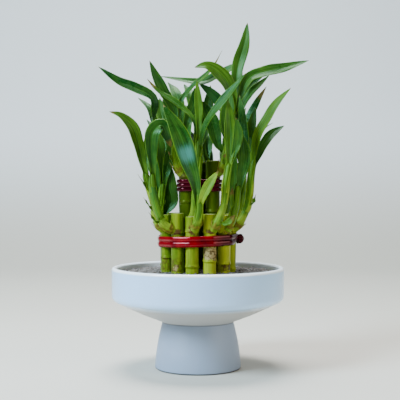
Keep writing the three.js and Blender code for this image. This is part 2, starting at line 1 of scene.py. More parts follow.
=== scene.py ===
"""A two-tier lucky bamboo in a footed bowl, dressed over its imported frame.

Metres, +Z up, the front towards -Y. The tables hold millimetres and degrees, as the frame's source does.
"""
import math
from dataclasses import dataclass
from random import Random

import bmesh
import bpy
import numpy as np
from bpy.props import FloatProperty, FloatVectorProperty, IntProperty, PointerProperty
from mathutils import Matrix, Vector, noise


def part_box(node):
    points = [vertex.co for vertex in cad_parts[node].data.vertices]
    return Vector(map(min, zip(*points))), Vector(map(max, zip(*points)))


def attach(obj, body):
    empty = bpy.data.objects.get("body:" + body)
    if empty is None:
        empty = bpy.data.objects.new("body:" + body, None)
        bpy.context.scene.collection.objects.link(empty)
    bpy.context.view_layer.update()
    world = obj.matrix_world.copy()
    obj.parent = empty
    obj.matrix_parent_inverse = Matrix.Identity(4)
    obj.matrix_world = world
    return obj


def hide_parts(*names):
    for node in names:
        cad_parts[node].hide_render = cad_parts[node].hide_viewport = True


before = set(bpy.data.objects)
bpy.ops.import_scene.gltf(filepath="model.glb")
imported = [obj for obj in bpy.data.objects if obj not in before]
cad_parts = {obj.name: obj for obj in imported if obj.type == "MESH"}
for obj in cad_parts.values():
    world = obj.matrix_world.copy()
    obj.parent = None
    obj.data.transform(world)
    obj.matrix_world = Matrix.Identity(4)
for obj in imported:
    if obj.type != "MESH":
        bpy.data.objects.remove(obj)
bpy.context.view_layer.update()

bl_info = {
    "name": "Lucky Bamboo in a Footed Bowl",
    "version": (1, 0, 0),
    "blender": (4, 5, 0),
    "location": "View3D > Sidebar > Bamboo",
    "description": "Dresses a tied lucky bamboo: bowl, gravel, canes, shoots, ties and a pale studio",
    "category": "Add Mesh",
}

MM = 0.001
BODY = "root"

# ---- the plan of the plant, in millimetres ----
CANE_FOOT, RING_SPAN = 50.5, 93.0
OUTER_SPROUT, INNER_SPROUT, LOW_SPROUT = 129.0, 179.0, 134.0

# (bearing from the front towards +X, top of the cane, heights of its node rings, yellowness)
OUTER_CANES = [
    (-71, 143.0, (104, 127), 0.15),
    (-38, 144.6, (90, 127.5), 0.26),
    (-10, 141.8, (97, 129), 0.30),
    (21, 144.0, (102, 128), 0.70),
    (53, 142.6, (99, 127), 1.0),
    (80, 143.5, (93, 127), 0.5),
    (110, 142.0, (101, 127), 0.3),
    (140, 144.4, (95, 127.5), 0.2),
    (170, 143.0, (104, 127), 0.35),
    (200, 141.6, (92, 126.5), 0.15),
    (230, 143.8, (99, 127.5), 0.35),
    (260, 142.4, (96, 127), 0.25),
]
INNER_CANES = [
    (-57, 190.5, (112, 154.6, 178), 0.18),
    (57, 192.2, (108, 146, 177), 0.10),
    (125, 193.0, (118, 150, 177), 0.30),
    (180, 191.0, (104, 140, 182.5), 0.22),
    (235, 192.5, (110, 148, 176.5), 0.35),
]
# The bunches: how far out their canes stand, at the foot and RING_SPAN above it, the radius of a cane,
# how far the ring is moved towards +X, and how much of the rind is left out of painted shade
BUNCHES = {
    "outer": dict(ring=(28.8, 30.4), radius=6.0, shift=0.0, light=1.0, canes=OUTER_CANES),
    "inner": dict(ring=(14.2, 14.6), radius=6.5, shift=1.5, light=0.25, canes=INNER_CANES),
}
# Husk and stains left on the canes: (cane, bearing, height, half height, half width in degrees, husk, stain)
CANE_MARKS = [
    ("cane_outer_04", 10, 109, 7.5, 100, 1.0, 0.35),
    ("cane_outer_02", -20, 95.5, 4.5, 34, 0.75, 0.3),
    ("cane_outer_02", -30, 97, 10, 110, 0.0, 0.42),
    ("cane_outer_01", -55, 97, 5, 40, 0.3, 0.4),
    ("cane_outer_01", -55, 98, 10, 120, 0.0, 0.42),
    ("cane_outer_05", 40, 95, 4, 80, 0.0, 0.7),
    ("cane_outer_02", -40, 128, 3.6, 90, 0.2, 0.9),
    ("cane_outer_03", 5, 130, 5, 45, 0.3, 0.9),
    ("cane_outer_04", 30, 128.6, 2.6, 80, 0.1, 0.9),
    ("cane_outer_05", 45, 130, 6, 60, 0.5, 0.7),
    ("cane_outer_08", 150, 104, 6, 60, 0.8, 0.4),
    ("cane_outer_11", 240, 98, 6, 70, 0.9, 0.3),
    ("cane_inner_01", -60, 179, 5, 70, 0.5, 0.8),
    ("cane_inner_02", 60, 179, 5, 60, 0.6, 0.8),
]

# The ties: bunch, height, turns of the wire, its height and depth, how far apart the turns are and how
# they tilt, where the ends are twisted and how large their knob is, and where towards +X painted shade
# darkens the wire
TIES = {
    "tie_lower": dict(bunch="outer", middle=119.4, strands=2, strand=5.0, depth=2.0, pitch=4.9, tilt=0.03,
                      bearing=84, knob=(3.7, 3.1), painted_shade=20),
    "tie_upper": dict(bunch="inner", middle=169.8, strands=3, strand=3.7, depth=1.8, pitch=3.8, tilt=0.0,
                      bearing=150, knob=(2.5, 2.1), painted_shade=100),
}

FRONT = (0, -1, 0)
UP = (0, 0, 1)

# Shoots: (cane, height of the sprout, stem, blades, bracts). Each blade is
# (where it leaves the stem, points, width, face at its base, face at its tip).
SHOOTS = {
    "shoot_outer_01": ("cane_outer_01", OUTER_SPROUT,
        [(-34.5, -12.5, 132.5), (-38.5, -14.5, 142), (-40.5, -16.5, 155), (-44.5, -17.5, 168),
         (-48.5, -18, 182)],
        [(0.75, [(-51.5, -19.5, 194), (-54.5, -22, 209), (-59.5, -25, 223), (-69, -28.5, 232.5),
                 (-79.5, -32, 236)], 11.5, (0.5, -0.8, 0), (0.1, -0.8, 0.5)),
         (0.9, [(-47, -9, 196), (-44, -1, 214), (-36, 6, 232)], 11, (0.4, -0.8, 0), (0, -0.8, 0.5))],
        [(0.35, [(-44, -20, 150), (-49.5, -22, 159)], 5, (0.8, -0.6, 0), UP),
         (0.6, [(-48.5, -21, 170), (-54.5, -23, 180)], 5, (0.8, -0.6, 0), UP)]),
    "shoot_outer_02": ("cane_outer_02", OUTER_SPROUT,
        [(-29, -29, 133), (-34.5, -31, 143), (-38, -31, 154), (-40.5, -30.5, 167), (-41.5, -29.5, 181)],
        [(0.7, [(-43, -25.5, 202), (-42, -20, 229), (-41, -21, 248), (-57, -25, 258), (-70, -28, 263),
                (-89, -33, 276)], 12.5, (0.3, 0.9, 0), (0.1, -1, 0.4)),
         (0.85, [(-41.5, -32, 201), (-40, -33, 217), (-33, -31, 224), (-24, -26, 204)], 14,
          (0.4, -0.9, 0), (-0.2, -0.8, 0.5))],
        [(0.25, [(-37.5, -35.5, 137), (-44, -36, 146)], 5, (0.8, -0.6, 0), UP)]),
    "shoot_outer_03": ("cane_outer_03", OUTER_SPROUT,
        [(0, -37, 140), (1.5, -40, 152), (0.5, -41, 163)],
        [(0.55, [(-2, -43, 170), (-8, -43, 190), (-17, -39, 216), (-31, -32, 242)], 18,
          FRONT, (0.3, -0.8, 0.5)),
         (0.5, [(4, -44, 158), (8, -46, 167), (13.5, -47, 176), (18, -48, 182.5)], 9,
          (-0.2, -1, 0), (0, -0.8, 0.6))],
        []),
    "shoot_outer_04": ("cane_outer_04", OUTER_SPROUT,
        [(18, -34, 138), (23, -36, 152), (25, -36, 172), (28, -34, 190)],
        [(0.8, [(29, -33, 204), (29, -31, 224), (27, -29, 246)], 12, FRONT, (0.3, -0.8, 0.5)),
         (0.95, [(33, -34, 200), (36, -36, 214), (34, -38, 230)], 9, (-0.3, -1, 0), FRONT)],
        [(0.15, [(25, -38.5, 136), (33, -41, 143.5)], 6.5, FRONT, FRONT)]),
    "shoot_outer_05": ("cane_outer_05", OUTER_SPROUT,
        [(30, -23, 138), (34, -27, 152), (36, -28, 170)],
        [(0.7, [(39, -28, 178), (42, -28, 194), (40, -27, 217)], 11.5, FRONT, FRONT),
         (0.85, [(41, -22, 188), (42, -18, 220), (38, -14, 252)], 9.5, (-0.4, -0.9, 0), (-0.4, -0.9, 0)),
         (0.3, [(32, -20, 152), (33, -18, 172), (34, -17, 199)], 9, FRONT, FRONT)],
        [(0.4, [(30, -31, 156), (31, -33, 168)], 5.5, FRONT, FRONT)]),
    "shoot_outer_06": ("cane_outer_06", OUTER_SPROUT,
        [(38, -6, 135), (44.5, -7, 147), (47.5, -8, 162), (49, -9, 180), (51.5, -9, 194)],
        [(0.7, [(54.5, -10, 214), (64.5, -11, 233), (72.5, -12, 246), (85, -14, 259)], 10,
          (-0.5, -0.9, 0), (-0.3, -0.8, 0.4)),
         (0.8, [(60, -5, 206), (69, -1, 218), (80.5, 4, 225.5)], 10, (-0.4, -0.8, 0.3), (0, -0.8, 0.6)),
         (0.9, [(50, -3, 205), (50, 1, 224), (54, 4, 242)], 10, (-0.4, -0.9, 0), (-0.4, -0.8, 0.4))],
        [(0.4, [(50.5, -11, 153), (53.5, -12, 162)], 5.5, (-0.7, -0.7, 0), UP)]),
    "shoot_outer_07": ("cane_outer_07", OUTER_SPROUT,
        [(36, 13, 138), (41, 15, 158), (43, 16, 180)],
        [(0.85, [(45, 11, 212), (48, 9, 232), (55, 10, 247), (64.5, 14, 263)], 9,
          (-0.5, -0.9, 0), (-0.4, -0.8, 0.4)),
         (0.7, [(50, 22, 200), (58, 28, 219), (72, 34, 230)], 10.5, (-0.8, -0.5, 0), UP),
         (0.95, [(39, 24, 205), (39, 36, 229), (47, 50, 246)], 11, (-0.2, -0.9, 0), UP)],
        [(0.35, [(43, 20, 156), (47, 22, 166)], 5.5, (-0.7, -0.5, 0), UP)]),
    "shoot_outer_12": ("cane_outer_12", OUTER_SPROUT,
        [(-36, 6, 137), (-35, 6, 154), (-33, 7, 172)],
        [(0.6, [(-40, 5, 180), (-45, 7, 200), (-40, 8, 219)], 11.5, (0.2, -1, 0), FRONT),
         (0.8, [(-28, 7, 190), (-24, 7, 206), (-21, 8, 223)], 11, FRONT, (0.2, -0.9, 0.3)),
         (0.95, [(-35, 14, 194), (-38, 19, 214), (-45, 25, 228)], 11, (0.4, -0.8, 0), UP),
         (0.15, [(-30, 8, 145.5), (-25, 8.5, 155), (-27, 8, 168), (-25.5, 7, 188)], 15, (0.2, -1, 0), FRONT)],
        []),
    "shoot_inner_low": ("cane_inner_01", LOW_SPROUT,
        [(-4.5, -15.5, 141), (-3, -18, 152), (-2.5, -21, 163), (-1, -22.3, 172), (0, -22, 182),
         (1, -19, 212)],
        [(0.92, [(1, -20, 234), (-1, -23, 265)], 7.5, FRONT, FRONT),
         (0.79, [(6, -24, 222), (16, -29, 238), (43, -37, 270)], 8.5, (-0.5, -0.8, 0.2), (-0.3, -0.8, 0.5)),
         (0.875, [(-4, -18, 229), (-13, -15, 240), (-25, -12, 249), (-37, -10, 257), (-47, -8, 268)], 6,
          (0.3, -0.8, 0.5), (0, -0.8, 0.6))],
        []),
    "shoot_inner_01": ("cane_inner_01", INNER_SPROUT,
        [(-18, -10, 186), (-21, -9, 198), (-20, -8, 212), (-18, -6, 224)],
        [(0.8, [(-22, -5, 238), (-32, -4, 257), (-39, -6, 271), (-44.5, -8, 284.5)], 10.5,
          (0.3, -0.9, 0), (0.2, -0.9, 0.2)),
         (0.85, [(-17, 2, 236), (-15, 4, 250), (-1, 5, 266), (13, 5, 278.5), (22.5, 4, 295.5)], 6,
          (0.2, -0.9, 0), (-0.5, -0.35, 0.8)),
         (0.6, [(-26, -3, 216), (-34, 4, 236), (-36, 12, 252)], 11, (0.4, -0.9, 0), (0, -0.8, 0.5))],
        [(0.25, [(-25, -13, 194), (-27, -15, 201)], 5.5, (0.7, -0.7, 0), UP)]),
    "shoot_inner_02": ("cane_inner_02", INNER_SPROUT,
        [(22, -9, 187), (27, -9, 201), (30, -8, 219), (32, -7, 236)],
        [(0.9, [(31, -12, 252), (27, -15, 263), (18, -18, 273), (7, -21, 278.5), (-3, -23, 276.5)], 14,
          (0.2, -1, 0.1), (0.1, -0.9, 0.5)),
         (0.95, [(35, -4, 260), (37, -2, 280), (43, 0, 300), (46, 2, 321)], 12, (-0.3, -1, 0), FRONT),
         (0.8, [(38, 0, 262), (36, 5, 280), (20, 9, 274), (4, 11, 267.5), (-36, 13, 272.5)], 9,
          (-0.2, -0.9, 0.2), (0, -0.7, 0.7)),
         (0.85, [(38, -6, 248), (43, -4, 262), (49, -2, 270.5), (61, 0, 275), (80, 5, 279.5),
                 (104, 10, 287)], 12, (-0.4, -0.9, 0), (-0.1, -0.8, 0.5)),
         (0.5, [(26, -13, 220), (27, -15, 236), (30, -14, 256)], 13, FRONT, FRONT)],
        [(0.2, [(24, -14, 190), (25, -17, 199)], 6, FRONT, FRONT)]),
    "shoot_inner_03": ("cane_inner_03", INNER_SPROUT,
        [(24, 14, 188), (28, 16, 204), (31, 17, 222)],
        [(0.75, [(42, 20, 254), (51, 22, 266), (64, 25, 275.5)], 7.5, (-0.5, -0.8, 0.1), (-0.3, -0.9, 0.2)),
         (0.9, [(40, 12, 240), (49, 13, 256), (67.5, 17, 274)], 7.5, (-0.5, -0.8, 0.1), (-0.3, -0.9, 0.2)),
         (0.6, [(26, 11, 222), (27, 8, 240), (33, 6, 258)], 13, FRONT, FRONT),
         (0.4, [(18, 18, 211), (14, 20, 228), (4, 20, 250)], 14, FRONT, (0, -0.9, 0.4)),
         (0.8, [(27, 14, 236), (15, 11, 254), (1, 9, 265.5)], 11, (0.3, 0.9, 0.1), (0.1, 0.9, 0.3)),
         (0.95, [(31, 28, 240), (32, 42, 261), (38, 58, 272)], 11, FRONT, UP)],
        []),
    "shoot_inner_04": ("cane_inner_04", INNER_SPROUT,
        [(2, 24, 190), (-1, 27, 205), (-1, 28, 219)],
        [(0.75, [(6, 27, 232), (10, 28, 248), (12, 32, 266)], 10.5, FRONT, (0, -0.9, 0.4)),
         (0.55, [(6, 38, 220), (12, 52, 242), (22, 68, 252)], 12, FRONT, UP),
         (0.95, [(-3, 36, 238), (-8, 47, 259), (-14, 60, 270)], 11, FRONT, UP)],
        []),
    "shoot_inner_05": ("cane_inner_05", INNER_SPROUT,
        [(-16, 15, 188), (-17, 19, 204), (-14, 21, 220)],
        [(0.7, [(-22, 19, 226), (-29, 19, 244), (-30, 22, 262)], 10.5, (0.3, -0.9, 0), (0, -0.8, 0.4)),
         (0.9, [(-9, 19, 234), (-4, 16, 248), (-3, 14, 262)], 10.5, (-0.2, -0.9, 0), FRONT),
         (0.6, [(-24, 30, 216), (-32, 42, 236), (-46, 52, 246)], 11, (0.4, -0.8, 0), UP),
         (0.95, [(-16, 33, 238), (-22, 46, 260), (-30, 60, 272)], 11, FRONT, UP)],
        []),
}
# The shoots on the rear canes follow one rule: (length of the stem, number of blades, bearing of their lean)
RULED_SHOOTS = {
    "cane_outer_08": (54, 4, 154),
    "cane_outer_09": (64, 4, 192),
    "cane_outer_10": (56, 4, 174),
    "cane_outer_11": (62, 4, 199),
}
# Their blades, each number from its least to its most: turn to either side, reach, rise, width,
# share of the stem at which they leave it, and the shares of reach and rise along their arch
RULED_SPREAD, RULED_REACH, RULED_RISE, RULED_WIDTH = (14, 34), (18, 44), (44, 70), (10, 13)
RULED_LEAVES = (0.45, 0.97)
RULED_ARCH = ((0.2, 0.42), (0.52, 0.82), (1, 1))

# How young a blade is, from 0, deep green, to 1, yellow green, and from where its tip is dry
YOUNG_BLADES = {
    ("shoot_outer_01", 0): 0.5, ("shoot_outer_02", 1): 0.1, ("shoot_outer_03", 1): 0.8,
    ("shoot_outer_04", 0): 0.45, ("shoot_outer_06", 0): 0.6, ("shoot_inner_low", 0): 0.5,
    ("shoot_inner_02", 0): 0.42, ("shoot_inner_02", 1): 0.26, ("shoot_inner_02", 3): 0.2,
}
DRY_TIPS = {
    ("shoot_outer_01", 0): 0.87, ("shoot_outer_02", 1): 0.8, ("shoot_outer_03", 1): 0.86,
    ("shoot_outer_07", 0): 0.72, ("shoot_inner_01", 1): 0.7, ("shoot_inner_low", 2): 0.72,
}
# Blades with a painted sheen, a pale patch that stands in for a reflection: its middle as a share of the
# length, its half length, and its strength
PAINTED_SHEEN_BLADES = {("shoot_outer_03", 0): (0.51, 0.075, 1.0)}


# ---- small sums ----
def mix(a, b, t):
    return a + (b - a) * t


def smooth(t):
    t = np.clip(t, 0.0, 1.0)
    return t * t * (3 - 2 * t)


def hump(x, middle, width):
    """A soft rise to 1 at its middle."""
    return np.exp(-((x - middle) / width) ** 2)


def golden(n):
    """A share from 0 to 1 that spreads evenly as n counts up."""
    return n * 0.618034 % 1


def towards(bearing):
    """The level direction at a bearing from the front, turning towards +X."""
    angle = math.radians(bearing)
    return np.array([math.sin(angle), -math.cos(angle), 0.0])


def onward(origin, heading, out, up):
    """The point that lies out along a level heading and up from an origin."""
    return origin + heading * out + np.array([0.0, 0.0, up])


def unit(v):
    return v / np.linalg.norm(v)


def square_to(direction, along):
    """The direction less its part along a line."""
    return unit(direction - along * np.dot(direction, along))


def round_angles(sides):
    """Even angles all the way round."""
    return np.arange(sides) * 2 * math.pi / sides


class Path:
    """A smooth line through points, read by the share of its length."""

    STEPS = 200
    NUDGE = 1e-4

    def __init__(self, points):
        inner = np.array(points, float)
        self.spans = len(inner) - 1
        self.row = np.vstack([2 * inner[0] - inner[1], inner, 2 * inner[-1] - inner[-2]])
        self.shares = np.linspace(0, 1, self.STEPS + 1)
        spots = np.array([self.raw(t) for t in self.shares])
        steps = np.linalg.norm(np.diff(spots, axis=0), axis=1)
        self.gone = np.concatenate([[0], np.cumsum(steps)])
        self.length = float(self.gone[-1])

    def raw(self, t):
        """The point at t, on a cubic whose slopes allow for uneven spacing."""
        index = min(int(t * self.spans), self.spans - 1)
        w = t * self.spans - index
        p0, p1, p2, p3 = self.row[index:index + 4]
        d0, d1, d2 = (np.linalg.norm(b - a) ** 0.5 for a, b in ((p0, p1), (p1, p2), (p2, p3)))
        m1 = ((p1 - p0) / d0 - (p2 - p0) / (d0 + d1) + (p2 - p1) / d1) * d1
        m2 = ((p2 - p1) / d1 - (p3 - p1) / (d1 + d2) + (p3 - p2) / d2) * d1
        return p1 + m1 * w + (3 * (p2 - p1) - 2 * m1 - m2) * w ** 2 + (2 * (p1 - p2) + m1 + m2) * w ** 3

    def share(self, s):
        return float(np.interp(s * self.length, self.gone, self.shares))

    def at(self, s):
        """The point at a share of the length; past the end it runs on straight."""
        past = max(s - 1, 0) * self.length
        return self.raw(self.share(min(s, 1))) + self.along(1) * past if past else self.raw(self.share(s))

    def along(self, s):
        t = self.share(min(s, 1))
        return unit(self.raw(min(t + self.NUDGE, 1)) - self.raw(max(t - self.NUDGE, 0)))


# ---- meshes ----
def weave(rows, cols, closed=False):
    """Quads over a grid. They face out where the columns turn anticlockwise seen from the last row."""
    r, c = np.meshgrid(np.arange(rows - 1), np.arange(cols if closed else cols - 1), indexing="ij")
    n = (c + 1) % cols
    return np.stack([r * cols + c, r * cols + n, (r + 1) * cols + n, (r + 1) * cols + c], -1).reshape(-1, 4)


def tube_faces(rows, cols, first=True, last=True):
    """The faces of a tube over rings of points, closed at its first and last ring where wanted."""
    faces = [tuple(quad) for quad in weave(rows, cols, closed=True)]
    if first:
        faces.append(tuple(range(cols - 1, -1, -1)))
    if last:
        faces.append(tuple(range((rows - 1) * cols, rows * cols)))
    return faces


def new_mesh(name, points, faces, soft=True):
    """A mesh from points in millimetres, shaded smooth or flat."""
    mesh = bpy.data.meshes.new(name)
    mesh.from_pydata((np.asarray(points) * MM).tolist(), [], faces)
    mesh.polygons.foreach_set("use_smooth", [soft] * len(mesh.polygons))
    return mesh


class Skin:
    """The faces of one piece as they are laid, in millimetres."""

    def __init__(self):
        self.points, self.faces, self.courses, self.tints, self.slots = [], [], [], [], []
        self.count = 0

    def lay(self, points, faces, course=(0, 0), tint=(0, 0, 0, 1), slot=0):
        points = np.asarray(points, float).reshape(-1, 3)
        self.points.append(points)
        self.faces.extend(tuple(int(i) + self.count for i in face) for face in faces)
        self.slots.extend([slot] * len(faces))
        self.courses.append(np.broadcast_to(course, (len(points), 2)))
        self.tints.append(np.broadcast_to(tint, (len(points), 4)))
        self.count += len(points)

    def sheet(self, grid, thickness, course, tint, slot=0):
        """A thin closed sheet about a grid of points, its upper side where the grid faces."""
        rows, cols = grid.shape[:2]
        normal = np.cross(np.gradient(grid, axis=1), np.gradient(grid, axis=0))
        normal /= np.maximum(np.linalg.norm(normal, axis=2, keepdims=True), 1e-9)
        lift = normal * thickness[..., None] / 2
        quads = weave(rows, cols)
        size = rows * cols
        index = np.arange(size).reshape(rows, cols)
        rim = [*index[0], *index[1:, -1], *index[-1, -2::-1], *index[-2:0:-1, 0]]
        edge = [(b, a, a + size, b + size) for a, b in zip(rim, rim[1:] + rim[:1])]
        faces = [*quads, *(quads[:, ::-1] + size), *edge]
        upper = tint.reshape(-1, 4)
        under = upper.copy()
        under[:, 3] = 0
        self.lay(np.vstack([(grid + lift).reshape(-1, 3), (grid - lift).reshape(-1, 3)]), faces,
                 np.vstack([course.reshape(-1, 2)] * 2), np.vstack([upper, under]), slot)

    def piece(self, name, materials, slot, *nodes, crease=None):
        """The finished piece, with its course along the surface and its tint as attributes."""
        mesh = new_mesh(name, np.vstack(self.points), self.faces)
        mesh.polygons.foreach_set("material_index", self.slots)
        for material in materials:
            mesh.materials.append(material)
        corners = np.empty(len(mesh.loops), np.int32)
        mesh.loops.foreach_get("vertex_index", corners)
        course = mesh.uv_layers.new(name="course")
        course.data.foreach_set("uv", np.vstack(self.courses)[corners].astype(np.float32).ravel())
        tint = mesh.color_attributes.new(name="tint", type="FLOAT_COLOR", domain="POINT")
        tint.data.foreach_set("color", np.vstack(self.tints).astype(np.float32).ravel())
        if crease is not None:
            mesh.set_sharp_from_angle(angle=math.radians(crease))
        mesh.update()
        return settle(bpy.data.objects.new(name, mesh), slot, *nodes)


def settle(piece, slot, *nodes):
    """Links a finished piece, lets it ride on the body and stand for its CAD nodes."""
    bpy.context.scene.collection.objects.link(piece)
    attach(piece, BODY)
    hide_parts(*nodes)
    return piece


def rounded(corners, step):
    """A profile whose corners (r, z, fillet) are turned into arcs, with a point every few degrees."""
    points = []
    for i, (r, z, fillet) in enumerate(corners):
        here = np.array([r, z], float)
        if fillet == 0 or i in (0, len(corners) - 1):
            points.append(here)
            continue
        back = unit(np.array(corners[i - 1][:2], float) - here)
        on = unit(np.array(corners[i + 1][:2], float) - here)
        turn = math.pi - math.acos(float(np.clip(np.dot(back, on), -1, 1)))
        inset = fillet * math.tan(turn / 2)
        centre = here + unit(back + on) * (fillet / math.cos(turn / 2))
        start, end = here + back * inset - centre, here + on * inset - centre
        steps = max(2, int(math.degrees(turn) / step) + 1)
        for k in range(steps + 1):
            t = k / steps
            arc = (math.sin((1 - t) * turn) * start + math.sin(t * turn) * end) / math.sin(turn)
            points.append(centre + arc)
    return np.array(points)


def lathe(profile, sides):
    """Rings of points about +Z from rows of (r, z)."""
    angle = round_angles(sides)
    ring = np.stack([np.cos(angle), np.sin(angle)], -1)
    grid = np.empty((len(profile), sides, 3))
    grid[..., :2] = profile[:, 0][:, None, None] * ring[None]
    grid[..., 2] = profile[:, 1][:, None]
    return grid


# ---- node helpers ----
def rgba(colour):
    return (*colour[:3], 1.0)


def feed(tree, socket, value):
    """Joins an input to a socket, or sets it to a plain value."""
    if isinstance(value, bpy.types.NodeSocket):
        tree.links.new(value, socket)
    else:
        socket.default_value = value


def add(tree, kind, inputs=None, **settings):
    """A node with its settings, and its inputs joined to sockets or set to values."""
    node = tree.nodes.new(kind)
    for key, value in settings.items():
        setattr(node, key, value)
    for key, value in (inputs or {}).items():
        feed(tree, node.inputs[key], value)
    return node


def calc(tree, operation, *values, clamp=False):
    """A sum on numbers."""
    node = add(tree, "ShaderNodeMath", dict(enumerate(values)), operation=operation, use_clamp=clamp)
    return node.outputs[0]


def total(tree, base, *terms):
    """A base with weighted terms added, each of them (value, weight)."""
    for value, weight in terms:
        base = calc(tree, "ADD", base, calc(tree, "MULTIPLY", value, weight))
    return base


def sway(tree, value, cloud, strength):
    """A value pushed up and down by a cloud, and kept from 0 to 1."""
    swing = calc(tree, "MULTIPLY", calc(tree, "SUBTRACT", cloud, 0.5), strength)
    return calc(tree, "ADD", value, swing, clamp=True)


def span(tree, value, low, high, to_low=0.0, to_high=1.0):
    """Carries a value from one range to another, with soft ends."""
    return add(tree, "ShaderNodeMapRange", {0: value, 1: low, 2: high, 3: to_low, 4: to_high},
               interpolation_type="SMOOTHSTEP").outputs[0]


def zone(tree, place, start, full):
    """A mask by place: none at its start and full at its end, both in millimetres."""
    return span(tree, place, start * MM, full * MM)


def vector_calc(tree, operation, *values, scale=None):
    """A sum on vectors. A length comes out as a number."""
    inputs = dict(enumerate(values))
    if scale is not None:
        inputs["Scale"] = scale
    node = add(tree, "ShaderNodeVectorMath", inputs, operation=operation)
    return node.outputs["Value" if operation == "LENGTH" else "Vector"]


def blend(tree, share, under, over):
    """One colour over another by a share. Each colour is a socket or a plain colour."""
    under, over = (c if isinstance(c, bpy.types.NodeSocket) else rgba(c) for c in (under, over))
    return add(tree, "ShaderNodeMix", {0: share, 6: under, 7: over}, data_type="RGBA").outputs[2]


def lay_over(tree, mask, strength, under, over):
    """One colour over another by a part of a mask."""
    return blend(tree, calc(tree, "MULTIPLY", mask, strength), under, over)


def noise_at(tree, where, scale, detail, roughness=0.5, output=0):
    return add(tree, "ShaderNodeTexNoise", {"Vector": where, "Scale": scale, "Detail": detail,
                                            "Roughness": roughness}).outputs[output]


def jitter(tree, where, scale, detail, reach):
    """A small random offset that changes over space."""
    cloud = noise_at(tree, where, scale, detail, output="Color")
    return vector_calc(tree, "SCALE", vector_calc(tree, "SUBTRACT", cloud, (0.5, 0.5, 0.5)), scale=reach)


def add_sockets(tree, side, sockets):
    """Named sockets on one side of a tree: (name, kind) or (name, kind, default)."""
    for label, kind, *default in sockets:
        socket = tree.interface.new_socket(name=label, in_out=side, socket_type=f"NodeSocket{kind}")
        if default:
            socket.default_value = default[0]


def new_tree(name, kind, inputs, outputs):
    """A node group, with the sockets that it is given and the ones that it fills."""
    tree = bpy.data.node_groups.new(name, kind)
    add_sockets(tree, "INPUT", inputs)
    add_sockets(tree, "OUTPUT", outputs)
    return tree, tree.nodes.new("NodeGroupInput").outputs, tree.nodes.new("NodeGroupOutput").inputs


def new_effect(name, outputs, **numbers):
    """A shader node group that reads a place and some numbers, and puts out numbers."""
    inputs = [("Vector", "Vector"), *((label, "Float", default) for label, default in numbers.items())]
    return new_tree(name, "ShaderNodeTree", inputs, [(label, "Float") for label in outputs])


def use(tree, name, **inputs):
    """An effect placed in a material, with its own values."""
    node = tree.nodes.new("ShaderNodeGroup")
    node.node_tree = bpy.data.node_groups[name]
    for key, value in inputs.items():
        feed(tree, node.inputs[key], value)
    return node.outputs


# ---- effects that several finishes share ----
def mottle_effect():
    """Soft clouds: their value at a contrast, and their height."""
    tree, given, out = new_effect("Mottle", ("Value", "Height"), Scale=100.0, Detail=4.0, Contrast=1.0)
    cloud = noise_at(tree, given["Vector"], given["Scale"], given["Detail"], 0.6)
    tree.links.new(sway(tree, 0.5, cloud, given["Contrast"]), out["Value"])
    tree.links.new(cloud, out["Height"])


def fibres_effect():
    """Fine strands drawn out along +Z."""
    tree, given, out = new_effect("Fibres", ("Value", "Height"), Across=900.0, Along=60.0, Contrast=1.0)
    across, along = given["Across"], given["Along"]
    stretch = add(tree, "ShaderNodeCombineXYZ", {"X": across, "Y": across, "Z": along}).outputs[0]
    drawn = vector_calc(tree, "MULTIPLY", given["Vector"], stretch)
    strands = noise_at(tree, drawn, 1.0, 3.0, 0.55)
    tree.links.new(sway(tree, 0.5, strands, given["Contrast"]), out["Value"])
    tree.links.new(strands, out["Height"])


def specks_effect():
    """Small round specks that gather in patches."""
    tree, given, out = new_effect("Specks", ("Mask",), Scale=400.0, Size=0.12)
    cells = add(tree, "ShaderNodeTexVoronoi", {"Vector": given["Vector"], "Scale": given["Scale"],
                                               "Randomness": 1.0}).outputs["Distance"]
    dots = span(tree, cells, given["Size"], calc(tree, "MULTIPLY", given["Size"], 0.5))
    patches = span(tree, noise_at(tree, given["Vector"], 90.0, 2.0), 0.5, 0.62)
    tree.links.new(calc(tree, "MULTIPLY", dots, patches), out["Mask"])


def cracks_effect():
    """Thin, bent cracks between cells."""
    tree, given, out = new_effect("Cracks", ("Mask",), Scale=230.0, Width=0.05)
    bent = vector_calc(tree, "ADD", given["Vector"], jitter(tree, given["Vector"], 380.0, 3.0, 0.006))
    edges = add(tree, "ShaderNodeTexVoronoi", {"Vector": bent, "Scale": given["Scale"]},
                feature="DISTANCE_TO_EDGE").outputs["Distance"]
    core = calc(tree, "MULTIPLY", given["Width"], 0.3)
    tree.links.new(span(tree, edges, given["Width"], core), out["Mask"])


def build_effects():
    for effect in (mottle_effect, fibres_effect, specks_effect, cracks_effect):
        effect()


# ---- finishes ----
def new_finish(name):
    """A material with its own Principled shader, and its Object coordinates."""
    material = bpy.data.materials.new(name)
    material.use_nodes = True
    tree = material.node_tree
    shader = tree.nodes["Principled BSDF"]
    where = tree.nodes.new("ShaderNodeTexCoord").outputs["Object"]
    return material, tree, shader, where


def join_shader(tree, shader, colour, rough, height, strength, distance):
    """Joins colour, roughness and relief to a material's shader."""
    tree.links.new(colour, shader.inputs["Base Color"])
    tree.links.new(rough, shader.inputs["Roughness"])
    bump = add(tree, "ShaderNodeBump", {"Height": height, "Strength": strength, "Distance": distance})
    tree.links.new(bump.outputs[0], shader.inputs["Normal"])


def set_highlight(shader, level, tint):
    """The strength and tint of a shader's highlights, the same all over."""
    shader.inputs["Specular IOR Level"].default_value = level
    shader.inputs["Specular Tint"].default_value = rgba(tint)


def parts_of(tree, vector):
    return add(tree, "ShaderNodeSeparateXYZ", {0: vector}).outputs


def read_tint(tree):
    """The three numbers of a piece's tint, and its fourth."""
    tint = add(tree, "ShaderNodeAttribute", attribute_name="tint")
    return (*add(tree, "ShaderNodeSeparateColor", {0: tint.outputs["Color"]}).outputs, tint.outputs["Alpha"])


def read_course(tree):
    """Where a point lies across and along its blade, or on its cut."""
    return add(tree, "ShaderNodeUVMap", uv_map="course").outputs[0]
